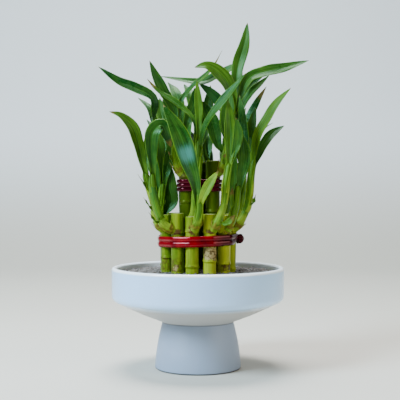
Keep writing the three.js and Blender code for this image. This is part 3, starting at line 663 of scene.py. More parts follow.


# Where the bowl's glaze and its painted shade and light change, each from its start to where it is full, in
# millimetres
# Painted shade on the underside and on the foot, and painted light over the rim
UNDERSIDE_SHADE, FOOT_SHADE, RIM_LIGHT = (65, 57), (44.5, 42.5), (90.8, 92.8)
# Painted shade in the crease where the foot meets the bowl
SEAM_SHADE_FROM_BELOW, SEAM_SHADE_FROM_ABOVE = (42.2, 43.4), (44.6, 43.8)
# Painted light on the upper inner wall
INSIDE_LIGHT_RADIUS, INSIDE_LIGHT_HEIGHT = (76.8, 76.0), (70, 75)
# The foot's edge: bare clay, darkened as painted contact shadow
BARE_AND_SHADE_RING, BARE_WOBBLE = (2.3, 1.2), 0.6


def glaze_finish(look):
    """Glaze, rough and uncoated on the underside, with painted shade on the underside, the foot and the seam,
    painted light over the rim and the upper inner wall, and a dark foot ring of bare clay and painted contact
    shadow.
    """
    material, tree, shader, where = new_finish("glaze")
    mottle = use(tree, "Mottle", Vector=where, Scale=38.0, Detail=5.0, Contrast=1.6)
    fine = use(tree, "Mottle", Vector=where, Scale=900.0, Detail=2.0, Contrast=1.0)
    pits = use(tree, "Specks", Vector=where, Scale=650.0, Size=0.09)["Mask"]
    height = parts_of(tree, where)["Z"]
    radius = vector_calc(tree, "LENGTH", vector_calc(tree, "MULTIPLY", where, (1, 1, 0)))

    colour = blend(tree, mottle["Value"], look.glaze, look.glaze_thick)
    colour = lay_over(tree, pits, 0.35, colour, look.pit)
    # The underside: painted shade, and a rougher glaze without its coat
    low = zone(tree, height, *UNDERSIDE_SHADE)
    colour = blend(tree, low, colour, look.glaze_underside_shade)
    # Painted shade on the foot, under the bowl
    colour = blend(tree, zone(tree, height, *FOOT_SHADE), colour, look.glaze_foot_shade)
    # Painted shade in the crease where the foot meets the bowl
    seam = calc(tree, "MULTIPLY", zone(tree, height, *SEAM_SHADE_FROM_BELOW), zone(tree, height, *SEAM_SHADE_FROM_ABOVE))
    colour = lay_over(tree, seam, 0.75, colour, look.seam)
    # Painted light: the upper inner wall and the rim made paler, as a highlight and against their shade
    inside = calc(tree, "MULTIPLY", zone(tree, radius, *INSIDE_LIGHT_RADIUS), zone(tree, height, *INSIDE_LIGHT_HEIGHT))
    painted_light = calc(tree, "MAXIMUM", inside, zone(tree, height, *RIM_LIGHT))
    colour = blend(tree, painted_light, colour, look.glaze_painted_light)
    # The foot's edge: bare, rough clay, darkened as painted contact shadow
    bare_and_shade = zone(tree, total(tree, height, (mottle["Height"], BARE_WOBBLE * MM)), *BARE_AND_SHADE_RING)
    colour = blend(tree, bare_and_shade, colour, look.clay_and_contact_shade)

    rough = total(tree, 0.13, (mottle["Value"], 0.10))
    for mask, least in ((low, 0.5), (bare_and_shade, 0.8)):
        rough = calc(tree, "MAXIMUM", rough, calc(tree, "MULTIPLY", mask, least))
    relief = total(tree, mottle["Height"], (fine["Height"], 0.06), (pits, -0.25))
    join_shader(tree, shader, colour, rough, relief, 0.22, 0.0012)
    tree.links.new(span(tree, low, 0.0, 1.0, 0.25, 0.0), shader.inputs["Coat Weight"])
    shader.inputs["Coat Roughness"].default_value = 0.06
    return material


def pebble_finish(look):
    """Stone in four browns and greys, dusty, each pebble by its own draw, all darkened as painted shade in
    the bowl.
    """
    material, tree, shader, where = new_finish("pebbles")
    each = add(tree, "ShaderNodeAttribute", attribute_name="pebble").outputs["Fac"]
    stops = add(tree, "ShaderNodeValToRGB", {0: each})
    ramp = stops.color_ramp.elements
    ramp[0].color, ramp[1].color = rgba(look.dark), rgba(look.pale)
    ramp.new(0.35).color = rgba(look.warm)
    ramp.new(0.7).color = rgba(look.grey)
    mottle = use(tree, "Mottle", Vector=where, Scale=520.0, Detail=4.0, Contrast=2.2)
    grains = use(tree, "Specks", Vector=where, Scale=1500.0, Size=0.25)["Mask"]
    colour = lay_over(tree, mottle["Value"], 0.55, stops.outputs[0], look.dust)
    colour = lay_over(tree, grains, 0.12, colour, look.grain)
    rough = total(tree, 0.45, (mottle["Value"], 0.3))
    join_shader(tree, shader, colour, rough, mottle["Height"], 0.5, 0.0004)
    return material


def rind_finish(look):
    """The rind of a cane. Tint: yellowness, husk, stain, and how much of the rind is left out of painted
    shade.
    """
    material, tree, shader, where = new_finish("cane rind")
    yellowness, husky, stained, unshaded = read_tint(tree)
    fibres = use(tree, "Fibres", Vector=where, Across=1100.0, Along=45.0, Contrast=1.4)
    broad = use(tree, "Fibres", Vector=where, Across=230.0, Along=28.0, Contrast=1.8)
    cloud = use(tree, "Mottle", Vector=where, Scale=420.0, Detail=5.0, Contrast=2.4)
    specks = use(tree, "Specks", Vector=where, Scale=900.0, Size=0.2)["Mask"]
    cracks = use(tree, "Cracks", Vector=where, Scale=185.0, Width=0.075)["Mask"]

    green = blend(tree, fibres["Value"], look.green, look.green_pale)
    yellow = blend(tree, fibres["Value"], look.yellow, look.yellow_pale)
    colour = blend(tree, sway(tree, yellowness, broad["Value"], 0.7), green, yellow)
    colour = lay_over(tree, specks, 0.6, colour, look.stain)
    stain = span(tree, total(tree, stained, (cloud["Value"], 0.5)), 0.55, 1.0)
    colour = blend(tree, stain, colour, look.stain)
    # Painted shade: the rind of the inner bunch is darkened towards deep green
    colour = blend(tree, calc(tree, "SUBTRACT", 1.0, unshaded), colour, look.green_painted_shade)
    flaky = span(tree, total(tree, husky, (cloud["Value"], 0.6)), 0.8, 1.02)
    husk = blend(tree, cloud["Value"], look.husk_pale, look.husk)
    colour = blend(tree, flaky, colour, lay_over(tree, cracks, 0.85, husk, look.husk_dark))
    scribbles = calc(tree, "MULTIPLY", cracks, span(tree, stained, 0.15, 0.5))
    colour = blend(tree, scribbles, colour, look.stain)

    rough = total(tree, 0.24, (fibres["Value"], 0.12), (flaky, 0.35))
    flakes = calc(tree, "MULTIPLY", flaky, calc(tree, "ADD", cloud["Height"], 0.4))
    relief = total(tree, flakes, (fibres["Height"], 0.35))
    join_shader(tree, shader, colour, rough, relief, 0.45, 0.0005)
    set_highlight(shader, 0.3, (0.8, 1.0, 0.15))
    return material


def cut_finish(look):
    """The cut of a cane: porous pith, a darker ring, and the rind's green edge."""
    material, tree, shader, where = new_finish("cane cut")
    radius = vector_calc(tree, "LENGTH", read_course(tree))
    pores = use(tree, "Specks", Vector=where, Scale=1700.0, Size=0.3)["Mask"]
    cloud = use(tree, "Mottle", Vector=where, Scale=700.0, Detail=4.0, Contrast=1.8)
    colour = blend(tree, cloud["Value"], look.cut_core, look.cut)
    colour = blend(tree, span(tree, radius, 0.8, 0.97), colour, look.green_pale)
    ring = calc(tree, "MULTIPLY", span(tree, radius, 0.74, 0.8), span(tree, radius, 0.86, 0.8))
    colour = lay_over(tree, ring, 0.5, colour, look.stain)
    colour = lay_over(tree, pores, 0.6, colour, look.stain)
    rough = total(tree, 0.6, (cloud["Value"], 0.2))
    join_shader(tree, shader, colour, rough, calc(tree, "SUBTRACT", cloud["Height"], pores), 0.4, 0.0003)
    return material


def blade_finish(look):
    """Green of blades, sheaths and stems. Tint: young, dry (below zero: painted sheen), own draw, upper side.
    """
    material, tree, shader, where = new_finish("blade")
    young, dry, draw, upper = read_tint(tree)
    course = parts_of(tree, read_course(tree))
    across = calc(tree, "ABSOLUTE", calc(tree, "SUBTRACT", course["X"], 0.5))
    wobble = use(tree, "Mottle", Vector=where, Scale=160.0, Detail=3.0, Contrast=1.0)["Value"]
    fine = use(tree, "Fibres", Vector=where, Across=1300.0, Along=70.0, Contrast=1.4)
    cloud = use(tree, "Mottle", Vector=where, Scale=75.0, Detail=5.0, Contrast=2.0)["Value"]
    specks = use(tree, "Specks", Vector=where, Scale=500.0, Size=0.1)["Mask"]
    lanes = add(tree, "ShaderNodeCombineXYZ", {"X": calc(tree, "MULTIPLY", course["X"], 16.0),
                                               "Y": calc(tree, "MULTIPLY", course["Y"], 2.2),
                                               "Z": calc(tree, "MULTIPLY", draw, 60.0)}).outputs[0]
    streaks = use(tree, "Mottle", Vector=lanes, Scale=1.0, Detail=4.0, Contrast=4.0)["Value"]
    turns = calc(tree, "MULTIPLY", course["X"], 2 * math.pi * look.veins)
    ridges = total(tree, 0.5, (calc(tree, "SINE", total(tree, turns, (wobble, 2.0))), 0.5))
    veins = total(tree, 0.0, (ridges, 0.35), (streaks, 0.65))

    age = sway(tree, young, cloud, 0.35)
    deep = blend(tree, veins, blend(tree, draw, look.deep, look.cool), look.deep_pale)
    colour = blend(tree, age, deep, blend(tree, veins, look.fresh, look.fresh_pale))
    colour = lay_over(tree, span(tree, age, 0.72, 1.0), 0.75, colour, look.pale_base)
    rib_fade = span(tree, course["Y"], 0.95, 0.5, 0.2, 0.75)
    rib = calc(tree, "MULTIPLY", span(tree, across, 0.045, 0.008), rib_fade)
    colour = blend(tree, rib, colour, look.rib)
    margin_fade = span(tree, course["Y"], 0.1, 0.0, 0.6, 0.9)
    margin = calc(tree, "MULTIPLY", span(tree, across, 0.45, 0.5), margin_fade)
    colour = blend(tree, margin, colour, look.fresh_pale)
    below = calc(tree, "MULTIPLY", calc(tree, "SUBTRACT", 1.0, upper), span(tree, age, 0.25, 0.6, 0.5, 0.0))
    colour = blend(tree, below, colour, look.under)
    colour = lay_over(tree, fine["Value"], 0.18, colour, look.deep)
    colour = lay_over(tree, specks, 0.4, colour, look.rib)
    # Painted sheen: a pale patch on the upper side, standing in for a reflection
    painted_sheen_mask = calc(tree, "MULTIPLY", span(tree, total(tree, dry, (streaks, -0.3)), -0.2, -1.1),
                span(tree, across, 0.5, 0.2))
    colour = blend(tree, calc(tree, "MULTIPLY", painted_sheen_mask, upper), colour, look.painted_sheen)
    parched = span(tree, total(tree, dry, (wobble, 0.5)), 0.55, 0.95)
    colour = blend(tree, parched, colour, blend(tree, fine["Value"], look.dry_dark, look.dry))

    dull = calc(tree, "MAXIMUM", parched, age)
    rough = total(tree, look.gloss, (cloud, 0.14), (below, 0.3), (dull, 0.25))
    groove = calc(tree, "MULTIPLY", rib, upper)
    relief = total(tree, 0.0, (veins, 0.6), (fine["Height"], 0.5), (groove, -2.0))
    join_shader(tree, shader, colour, rough, relief, look.relief, 0.0003)
    set_highlight(shader, 0.22, (0.45, 1.0, 0.6))
    return material


def husk_finish(look):
    """Dry, fibrous scales."""
    material, tree, shader, where = new_finish("husk")
    fibres = use(tree, "Fibres", Vector=where, Across=1500.0, Along=140.0, Contrast=2.6)
    cloud = use(tree, "Mottle", Vector=where, Scale=350.0, Detail=4.0, Contrast=2.4)
    colour = blend(tree, fibres["Value"], look.dry_dark, look.dry)
    colour = lay_over(tree, cloud["Value"], 0.9, colour, look.straw)
    rough = total(tree, 0.6, (fibres["Value"], 0.2))
    join_shader(tree, shader, colour, rough, fibres["Height"], 0.7, 0.0004)
    set_highlight(shader, 0.2, (1.0, 0.85, 0.3))
    return material


# Painted shade on the wire: its share of the deep red, and where it starts and is full about its distance, in
# millimetres
PAINTED_SHADE_SHARE, PAINTED_SHADE_START, PAINTED_SHADE_FULL = 0.42, -12, 5


def wire_finish(look, name, red, red_deep, painted_shade_from):
    """The wire's skin, with painted shade past a distance towards +X, where its ends are twisted together."""
    material, tree, shader, where = new_finish(name)
    cloud = use(tree, "Mottle", Vector=where, Scale=85.0, Detail=4.0, Contrast=3.0)
    scuffs = use(tree, "Specks", Vector=where, Scale=420.0, Size=0.16)["Mask"]
    fine = use(tree, "Mottle", Vector=where, Scale=1100.0, Detail=2.0, Contrast=1.0)
    colour = blend(tree, cloud["Value"], red, red_deep)
    colour = lay_over(tree, scuffs, 0.4, colour, look.scuff)
    # Painted shade: the wire darkens towards +X, on its side away from the key light
    painted_shade = zone(tree, parts_of(tree, where)["X"], painted_shade_from + PAINTED_SHADE_START, painted_shade_from + PAINTED_SHADE_FULL)
    colour = blend(tree, painted_shade, colour, [part * PAINTED_SHADE_SHARE for part in red_deep])
    rough = total(tree, look.gloss, (cloud["Value"], 0.08), (scuffs, 0.3))
    relief = total(tree, cloud["Height"], (fine["Height"], 0.15))
    join_shader(tree, shader, colour, rough, relief, 0.2, 0.0008)
    set_highlight(shader, 0.4, (1.0, 0.3, 0.35))
    return material


# Where the paper's painted shade and light change, back along the floor and up the wall, in millimetres
FLOOR_FADE, WALL_FADE = (100, 500), (0, 320)


def paper_finish(look):
    """Plain paper, with painted shade where the floor runs back towards the wall and painted light up the
    wall.
    """
    material, tree, shader, where = new_finish("studio paper")
    cloud = use(tree, "Mottle", Vector=where, Scale=2.2, Detail=3.0, Contrast=0.6)
    place = parts_of(tree, where)
    # Painted shade towards the back of the floor, and painted light up the wall
    shade = blend(tree, zone(tree, place["Y"], *FLOOR_FADE), look.paper, look.paper_painted_shade)
    shade = blend(tree, zone(tree, place["Z"], *WALL_FADE), shade, look.paper_painted_light)
    shade = lay_over(tree, cloud["Value"], 0.03, shade, look.paper_cloud)
    join_shader(tree, shader, shade, total(tree, 0.75, (cloud["Value"], 0.1)), cloud["Height"], 0.05, 0.001)
    return material


# ---- Geometry Nodes ----
def shape_tree(name, inputs):
    """A Geometry Nodes tree that takes a shape, numbers and a material, and puts out a shape."""
    shape = ("Geometry", "Geometry")
    return new_tree(name, "GeometryNodeTree", [shape, *inputs, ("Material", "Material")], [shape])


def end_tree(tree, shape, given, out):
    """Ends a tree in real faces with their material."""
    whole = add(tree, "GeometryNodeRealizeInstances", {0: shape}).outputs[0]
    dressed = add(tree, "GeometryNodeSetMaterial", {"Geometry": whole, "Material": given["Material"]})
    tree.links.new(dressed.outputs[0], out[0])


def through_tree(obj, tree, **values):
    """Runs an object through a tree once and returns the plain mesh. The object is removed."""
    modifier = obj.modifiers.new(tree.name, "NODES")
    modifier.node_group = tree
    sockets = {item.name: item.identifier for item in tree.interface.items_tree
               if item.item_type == "SOCKET" and item.in_out == "INPUT"}
    for label, value in values.items():
        modifier[sockets[label]] = value
    bpy.context.scene.collection.objects.link(obj)
    graph = bpy.context.evaluated_depsgraph_get()
    graph.update()
    mesh = bpy.data.meshes.new_from_object(obj.evaluated_get(graph), preserve_all_data_layers=True,
                                           depsgraph=graph)
    obj.modifiers.clear()
    bpy.data.objects.remove(obj)
    return mesh


# Most pebbles to a square metre, and the least and most of a pebble's half sizes as shares of the size
DENSEST = 400000.0
SLIMMEST, STOUTEST = (0.34, 0.30, 0.22), (0.62, 0.5, 0.4)
NO_TURN, FULL_TURN = (0.0, 0.0, 0.0), (6.28, 6.28, 6.28)
SQUEEZE_SEED, DRAW_SEED = 17, 29


def random_vector(tree, low, high, seed):
    return add(tree, "FunctionNodeRandomValue", {0: low, 1: high, "Seed": seed},
               data_type="FLOAT_VECTOR").outputs[0]


def pebble_tree():
    """Pebbles scattered over the part of a bed whose room is 1, each turned, stretched and roughened."""
    tree, given, out = shape_tree("Pebbles", [("Spacing", "Float", 0.003), ("Size", "Float", 0.005),
                                              ("Unevenness", "Float", 0.0006), ("Seed", "Int", 4)])
    room = add(tree, "GeometryNodeInputNamedAttribute", {"Name": "room"}, data_type="FLOAT").outputs[0]
    spots = add(tree, "GeometryNodeDistributePointsOnFaces",
                {"Mesh": given["Geometry"], "Distance Min": given["Spacing"], "Density Max": DENSEST,
                 "Density Factor": room, "Seed": given["Seed"]}, distribute_method="POISSON").outputs[0]
    cube = add(tree, "GeometryNodeMeshCube", {"Size": (1.0, 1.0, 1.0), "Vertices X": 3, "Vertices Y": 3,
                                              "Vertices Z": 3}).outputs["Mesh"]
    place = add(tree, "GeometryNodeInputPosition").outputs[0]
    round_off = vector_calc(tree, "NORMALIZE", place)
    pebble = add(tree, "GeometryNodeSetPosition", {"Geometry": cube, "Position": round_off}).outputs[0]
    squeeze = random_vector(tree, SLIMMEST, STOUTEST, SQUEEZE_SEED)
    laid = add(tree, "GeometryNodeInstanceOnPoints",
               {"Points": spots, "Instance": pebble,
                "Rotation": random_vector(tree, NO_TURN, FULL_TURN, given["Seed"]),
                "Scale": vector_calc(tree, "SCALE", squeeze, scale=given["Size"])}).outputs[0]
    draw = add(tree, "FunctionNodeRandomValue", {2: 0.0, 3: 1.0, "Seed": DRAW_SEED},
               data_type="FLOAT").outputs[1]
    named = add(tree, "GeometryNodeStoreNamedAttribute", {"Geometry": laid, "Name": "pebble", "Value": draw},
                data_type="FLOAT", domain="INSTANCE").outputs[0]
    solid = add(tree, "GeometryNodeRealizeInstances", {0: named}).outputs[0]
    lumps = jitter(tree, place, 420.0, 1.0, given["Unevenness"])
    uneven = add(tree, "GeometryNodeSetPosition", {"Geometry": solid, "Offset": lumps}).outputs[0]
    shaded = add(tree, "GeometryNodeSetShadeSmooth", {0: uneven}).outputs[0]
    joined = add(tree, "GeometryNodeJoinGeometry", {0: shaded})
    tree.links.new(given["Geometry"], joined.inputs[0])
    end_tree(tree, joined.outputs[0], given, out)
    return tree


def wire_tree():
    """A wire of oval section along a curve, upright all the way."""
    tree, given, out = shape_tree("Wound wire", [("Height", "Float", 0.004), ("Depth", "Float", 0.002),
                                                 ("Sides", "Int", 16)])
    upright = add(tree, "GeometryNodeSetCurveNormal", {"Curve": given["Geometry"]}, mode="Z_UP").outputs[0]
    circle = add(tree, "GeometryNodeCurvePrimitiveCircle",
                 {"Resolution": given["Sides"], "Radius": 0.5}).outputs[0]
    oval = add(tree, "ShaderNodeCombineXYZ", {"X": given["Depth"], "Y": given["Height"], "Z": 1.0}).outputs[0]
    section = add(tree, "GeometryNodeTransform", {"Geometry": circle, "Scale": oval}).outputs[0]
    drawn = add(tree, "GeometryNodeCurveToMesh", {"Curve": upright, "Profile Curve": section,
                                                  "Fill Caps": True}).outputs[0]
    end_tree(tree, add(tree, "GeometryNodeSetShadeSmooth", {0: drawn}).outputs[0], given, out)
    return tree


# ---- canes ----
# Rows of points up a cane: their step, their step about a node ring and how far that reaches, how far they
# keep from the cut, and the rows that round its edge
ROW_STEP, NODE_ROW_STEP, NODE_REACH, CUT_GAP = 2.4, 0.32, 3.2, 1
CUT_ROWS, CUT_BEVEL = (0.8, 0.3, 0.08, 0), (0.12, 0.4)
RIND_INSET = 0.1
# Humps at a node ring: (how far out, middle above the ring, width). The look says how far the ring swells
NODE_SWELL, NODE_GROOVE, NODE_WAIST = (0, 1.15), (-0.3, 0.55, 0.3), (-0.16, -2.2, 1.0)
# The scar at a node ring: (strength, middle above the ring, width)
NODE_SCAR = (0.75, 0.5, 0.42)
# How much yellower a cane is at its foot than at its cut
YELLOW_FADE = 0.22
# Stain about a sprout: its strength, half height, half width in degrees, and the softness of its edges
SPROUT_STAIN, SPROUT_HALF, SPROUT_EDGES = 0.4, (4.5, 52), (1.5, 1.4)
MARK_EDGES = (1.35, 1.35)
# The cut, from its edge to its middle: share of the radius, and height
CUT_SHARES = np.array([1.0, 0.93, 0.8, 0.6, 0.35, 0.12])
CUT_DISH = np.array([0.0, -0.05, -0.16, -0.12, -0.2, -0.3])
# How fine the unevenness of the rind, of its scars and of the cut is, and how rough the cut
RIND_GRAIN, SCAR_GRAIN, CUT_GRAIN, CUT_ROUGH = 0.09, 3.1, 0.8, 0.1


class Cane:
    """Where a cane stands, and which way its axis leans."""

    def __init__(self, name, bunch, bearing, top, nodes, yellow):
        out = towards(bearing)
        low, high = bunch["ring"]
        lean = math.atan((high - low) / RING_SPAN)
        # light: how much of the rind is left out of painted shade; below 1 it is darkened
        self.name, self.radius, self.light = name, bunch["radius"], bunch["light"]
        self.bearing, self.nodes, self.yellow = bearing, nodes, yellow
        self.foot = out * low + np.array([bunch["shift"], 0.0, CANE_FOOT])
        self.direction = out * math.sin(lean) + np.array([0.0, 0.0, math.cos(lean)])
        self.length = (top - CANE_FOOT) / self.direction[2]

    def axis(self, height):
        return self.foot + self.direction * (height - CANE_FOOT) / self.direction[2]


def stand_canes():
    """Every cane by its CAD node's name."""
    canes = {}
    for kind, bunch in BUNCHES.items():
        for number, row in enumerate(bunch["canes"], start=1):
            name = f"cane_{kind}_{number:02d}"
            canes[name] = Cane(name, bunch, *row)
    return canes


CANES = stand_canes()


def sprouts_of(cane):
    """(height, bearing) of each shoot on a cane."""
    rows = []
    for shoot_cane, height, stem, *rest in all_shoots().values():
        if shoot_cane == cane.name:
            out = np.array(stem[0], float) - cane.axis(height)
            rows.append((height, math.degrees(math.atan2(out[0], -out[1]))))
    return rows


def patch(heights, bearings, spot, half, edges):
    """A soft patch on a cane about a spot (height, bearing)."""
    apart = np.abs((bearings - spot[1] + 180) % 360 - 180)
    level = smooth(edges[0] - np.abs(heights - spot[0]) / half[0])
    return level[:, None] * smooth(edges[1] - apart / half[1])[None]


def cane_rows(cane, look):
    """Rows up a cane, closer at its node rings: heights above its foot, radii, and how scarred they are."""
    below_cut = cane.length - CUT_GAP
    heights = set(np.arange(0, below_cut, ROW_STEP).tolist())
    for node in cane.nodes:
        about = np.arange(-NODE_REACH, NODE_REACH + 0.1, NODE_ROW_STEP)
        heights.update((node - CANE_FOOT + about).tolist())
    last_rows = [cane.length - gap for gap in CUT_ROWS]
    heights = np.array(sorted(h for h in heights if h < below_cut) + last_rows)
    radius = np.full(len(heights), cane.radius - RIND_INSET)
    scar = np.zeros(len(heights))
    for node in cane.nodes:
        above = heights - (node - CANE_FOOT)
        radius += look.swell * hump(above, *NODE_SWELL)
        for out, middle, width in (NODE_GROOVE, NODE_WAIST):
            radius += out * hump(above, middle, width)
        scar += NODE_SCAR[0] * hump(above, *NODE_SCAR[1:])
    radius[-2:] -= CUT_BEVEL
    return heights, radius, scar


def cane_tint(cane, heights, bearings):
    """Yellowness, husk, stain and the share left out of painted shade over a cane, before its scars."""
    tint = np.zeros((len(heights), len(bearings), 4))
    # The fourth number keeps the rind out of painted shade; below 1 it is darkened
    tint[..., 3] = cane.light
    upward = np.clip(heights / cane.length, 0, 1)
    tint[..., 0] = np.clip(cane.yellow + YELLOW_FADE * (0.5 - upward), 0, 1)[:, None]
    z = heights + CANE_FOOT
    marks = [(husk, stain, patch(z, bearings, (height, bearing), half, MARK_EDGES))
             for name, bearing, height, *half, husk, stain in CANE_MARKS if name == cane.name]
    marks += [(0, SPROUT_STAIN, patch(z, bearings, (height - 1, bearing), SPROUT_HALF, SPROUT_EDGES))
              for height, bearing in sprouts_of(cane)]
    for husk, stain, mask in marks:
        tint[..., 1] = np.maximum(tint[..., 1], husk * mask)
        tint[..., 2] = np.maximum(tint[..., 2], stain * mask)
    return tint


def lay_cut(skin, rim, radius, length):
    """The dished, slightly rough cut that closes a cane at its rim."""
    sides = len(rim)
    top = lathe(np.stack([radius * CUT_SHARES, length + CUT_DISH], -1), sides)
    for spot in top[1:].reshape(-1, 3):
        spot[2] += CUT_ROUGH * noise.noise(Vector(spot) * CUT_GRAIN)
    top[0] = rim
    course = lathe(np.stack([CUT_SHARES, CUT_SHARES], -1), sides)[..., :2]
    skin.lay(top, tube_faces(len(CUT_SHARES), sides, first=False), course.reshape(-1, 2), slot=1)


def build_cane(cane, look, finishes):
    """One cut cane: node rings, sheath scars, husk, and a flat cut with its pith."""
    sides = look.sides
    heights, radius, scar = cane_rows(cane, look)
    grid = lathe(np.stack([radius, heights], -1), sides)
    tint = cane_tint(cane, heights, np.degrees(round_angles(sides)) + 90)
    scars = np.zeros(grid.shape[:2])
    own_draw = Vector((cane.bearing, 3.7, 1.9))
    for r, c in np.ndindex(scars.shape):
        spot = Vector(grid[r, c]) * RIND_GRAIN + own_draw
        grid[r, c, :2] *= 1 + look.uneven * noise.noise(spot)
        scars[r, c] = scar[r] * (0.65 + 0.5 * noise.noise(spot * SCAR_GRAIN))
    tint[..., 2] = np.maximum(tint[..., 2], scars)
    skin = Skin()
    skin.lay(grid, tube_faces(len(heights), sides, last=False), tint=tint.reshape(-1, 4))
    lay_cut(skin, grid[-1], radius[-1], cane.length)
    turn = np.array(Vector(UP).rotation_difference(Vector(cane.direction)).to_matrix())
    skin.points = [points @ turn.T + cane.foot for points in skin.points]
    piece = skin.piece(f"{cane.name}_rind", finishes, "cane", cane.name, crease=50)
    weld(piece)


def weld(piece):
    """Joins points of a piece that lie on each other."""
    work = bmesh.new()
    work.from_mesh(piece.data)
    bmesh.ops.remove_doubles(work, verts=work.verts, dist=1e-7)
    work.to_mesh(piece.data)
    work.free()


# ---- blades and stems, in millimetres, degrees and shares of their length ----
ACROSS = np.array([-1, -0.88, -0.7, -0.5, -0.3, -0.12, 0, 0.12, 0.3, 0.5, 0.7, 0.88, 1])
# Where a blade is widest, how it tapers, how wide its base is, how far off the stem it starts, least width
WIDEST_AT, BLADE_TAPER, BLADE_BASE, BLADE_SEAT, LEAST_WIDTH = 0.6, 0.8, 0.36, 1.2, 0.22
# How far its halves are folded up at its base, farther out and at its tip
FOLD_BASE, FOLD_MIDDLE, FOLD_TIP, FOLD_EASES_AT = 50, 16, 9, 0.4
# Waves along its halves, and the power that spreads its rows
WAVE_TURNS, RIPPLE_TURNS, RIPPLE_SHARE, ROW_POWER = 2.2, 3.9, 0.6, 0.92
# A blade without painted sheen
NO_PAINTED_SHEEN = (0, 1, 0)
# A sheath: its length below a blade and a bract, its rows, and the most of the stem that it takes; how far
# it wraps and stands off the stem; its tint; and how it opens into its blade
BLADE_SHEATH, BRACT_SHEATH, SHEATH_STEPS, SHEATH_SHARE = 24, 7, 6, 0.7
SHEATH_WRAP, SHEATH_PROUD = (300, 250), (-0.1, 0.55)
SHEATH_YOUNG, SHEATH_DRY, SHEATH_COURSE = (0.75, 0.4), 0.3, 0.15
OPENING_WRAP, OPENING_PROUD, OPENING_SHARE = (250, 120), (0.55, 1.05), 0.3
# A blade's thickness at its margin and at its tip, as shares of the thickness at its midrib and its base
THIN_MARGIN, THIN_TIP = 0.45, 0.5
BRACT_WIDTH, BRACT_YOUNG, BRACT_DRY_FROM = 0.8, 0.6, 0.45
# A stem: where it starts in its cane, rings along it, its swollen foot, and where it narrows to its end
STEM_UNDER_RIND, STEM_START = 2.2, 0.6
STEM_SIDES, STEM_STEPS, STEM_INSET = 24, 60, 0.2
RING_HEIGHT, RING_APART, RING_MIDDLE, RING_WIDTH = 0.25, 8.5, 4, 0.5
HORN_HEIGHT, HORN_MIDDLE, HORN_WIDTH = 1.0, 6, 7
STEM_NARROWS_AT = 0.93
STEM_YOUNG, STEM_DRY = (0.95, 0.5), 0.35
# Husks about a shoot's foot: the first few are wide and short, the rest narrow and standing off
HUSK_STEPS, HUSK_THICK, HUSK_TINT, HUSK_DEPTH = 8, 0.22, (0.0, 1.0, 0.5, 1.0), (1.8, 0.6)
WIDE_HUSKS = 3
WIDE_HUSK = dict(length=(3, 6), wrap=110, flare=(0.2, 0.2))
NARROW_HUSK = dict(length=(4, 10), wrap=30, flare=(0.3, 2.2))
FIRST_SEED = 1000


@dataclass
class Blade:
    """A blade or a bract: where it leaves the stem, its route and faces, how it has aged, and its painted
    sheen.
    """
    at: float
    path: list
    width: float
    base_face: tuple
    tip_face: tuple
    steps: int
    sheath: float
    young: float
    dry_from: float
    draw: float
    # Where a pale patch of painted sheen lies, if any
    painted_sheen: tuple = NO_PAINTED_SHEEN


class Stem:
    """A shoot's stem: a smooth line and its thickness."""

    def __init__(self, start, points, radii):
        self.line = Path([start, *points])
        self.radii = radii

    def radius(self, q):
        return mix(*self.radii, min(q, 1))

    def past(self, q, length):
        """The share of the stem that lies a length past another share."""
        return q + length / self.line.length

    def frame(self, q, face):
        """The middle of the stem, the direction away from a face, and the side across it."""
        along = self.line.along(q)
        inward = square_to(np.array(face, float), along)
        return self.line.at(q), -inward, np.cross(along, inward)

    def arc(self, q, face, wrap, proud):
        """A row of points hugging the stem, its middle away from the face."""
        centre, back, side = self.frame(q, face)
        angle = ACROSS * math.radians(wrap) / 2
        reach = self.radius(q) + proud
        return centre + reach * (np.outer(np.cos(angle), back) + np.outer(np.sin(angle), side))


# ---- shoots ----
def ruled_shoot(name, length, count, aim, order):
    """A shoot by the rule: its blades turn to either side in turn and arch outwards."""
    cane = CANES[name]
    start = cane.axis(OUTER_SPROUT)
    out = towards(cane.bearing)
    stem = [onward(start, out, reach, rise) for reach, rise in ((9, 8), (13, 0.45 * length), (15, length))]
    line = Path([start, *stem])
    blades = []
    for k in range(count):
        turn = mix(*RULED_SPREAD, golden(order * 5 + k * 2 + 1))
        heading = towards(aim + (turn if k % 2 else -turn))
        reach = mix(*RULED_REACH, golden(order * 3 + k + 2))
        rise = mix(*RULED_RISE, golden(order + k * 4 + 1))
        width = mix(*RULED_WIDTH, golden(order + k))
        at = mix(*RULED_LEAVES, k / (count - 1))
        path = [onward(line.at(at), heading, reach * far, rise * high) for far, high in RULED_ARCH]
        blades.append((at, path, width, tuple(-heading), UP))
    return (name, OUTER_SPROUT, stem, blades, [])


def all_shoots():
    """Every shoot by its CAD node's name."""
    ruled = {name.replace("cane", "shoot"): ruled_shoot(name, *row, order)
             for order, (name, row) in enumerate(RULED_SHOOTS.items())}
    return {**SHOOTS, **ruled}


def blade_share(s):
    """The width of a blade at a share of its length, as a share of its greatest."""
    if s < WIDEST_AT:
        return BLADE_BASE + (1 - BLADE_BASE) * math.sin(math.pi / 2 * s / WIDEST_AT) ** 2
    return max(math.cos(math.pi / 2 * (s - WIDEST_AT) / (1 - WIDEST_AT)), 0) ** BLADE_TAPER


def fold_at(s):
    """How far each half of a blade is folded up, in degrees."""
    if s < FOLD_EASES_AT:
        return mix(FOLD_BASE, FOLD_MIDDLE, s / FOLD_EASES_AT)
    return mix(FOLD_MIDDLE, FOLD_TIP, (s - FOLD_EASES_AT) / (1 - FOLD_EASES_AT))


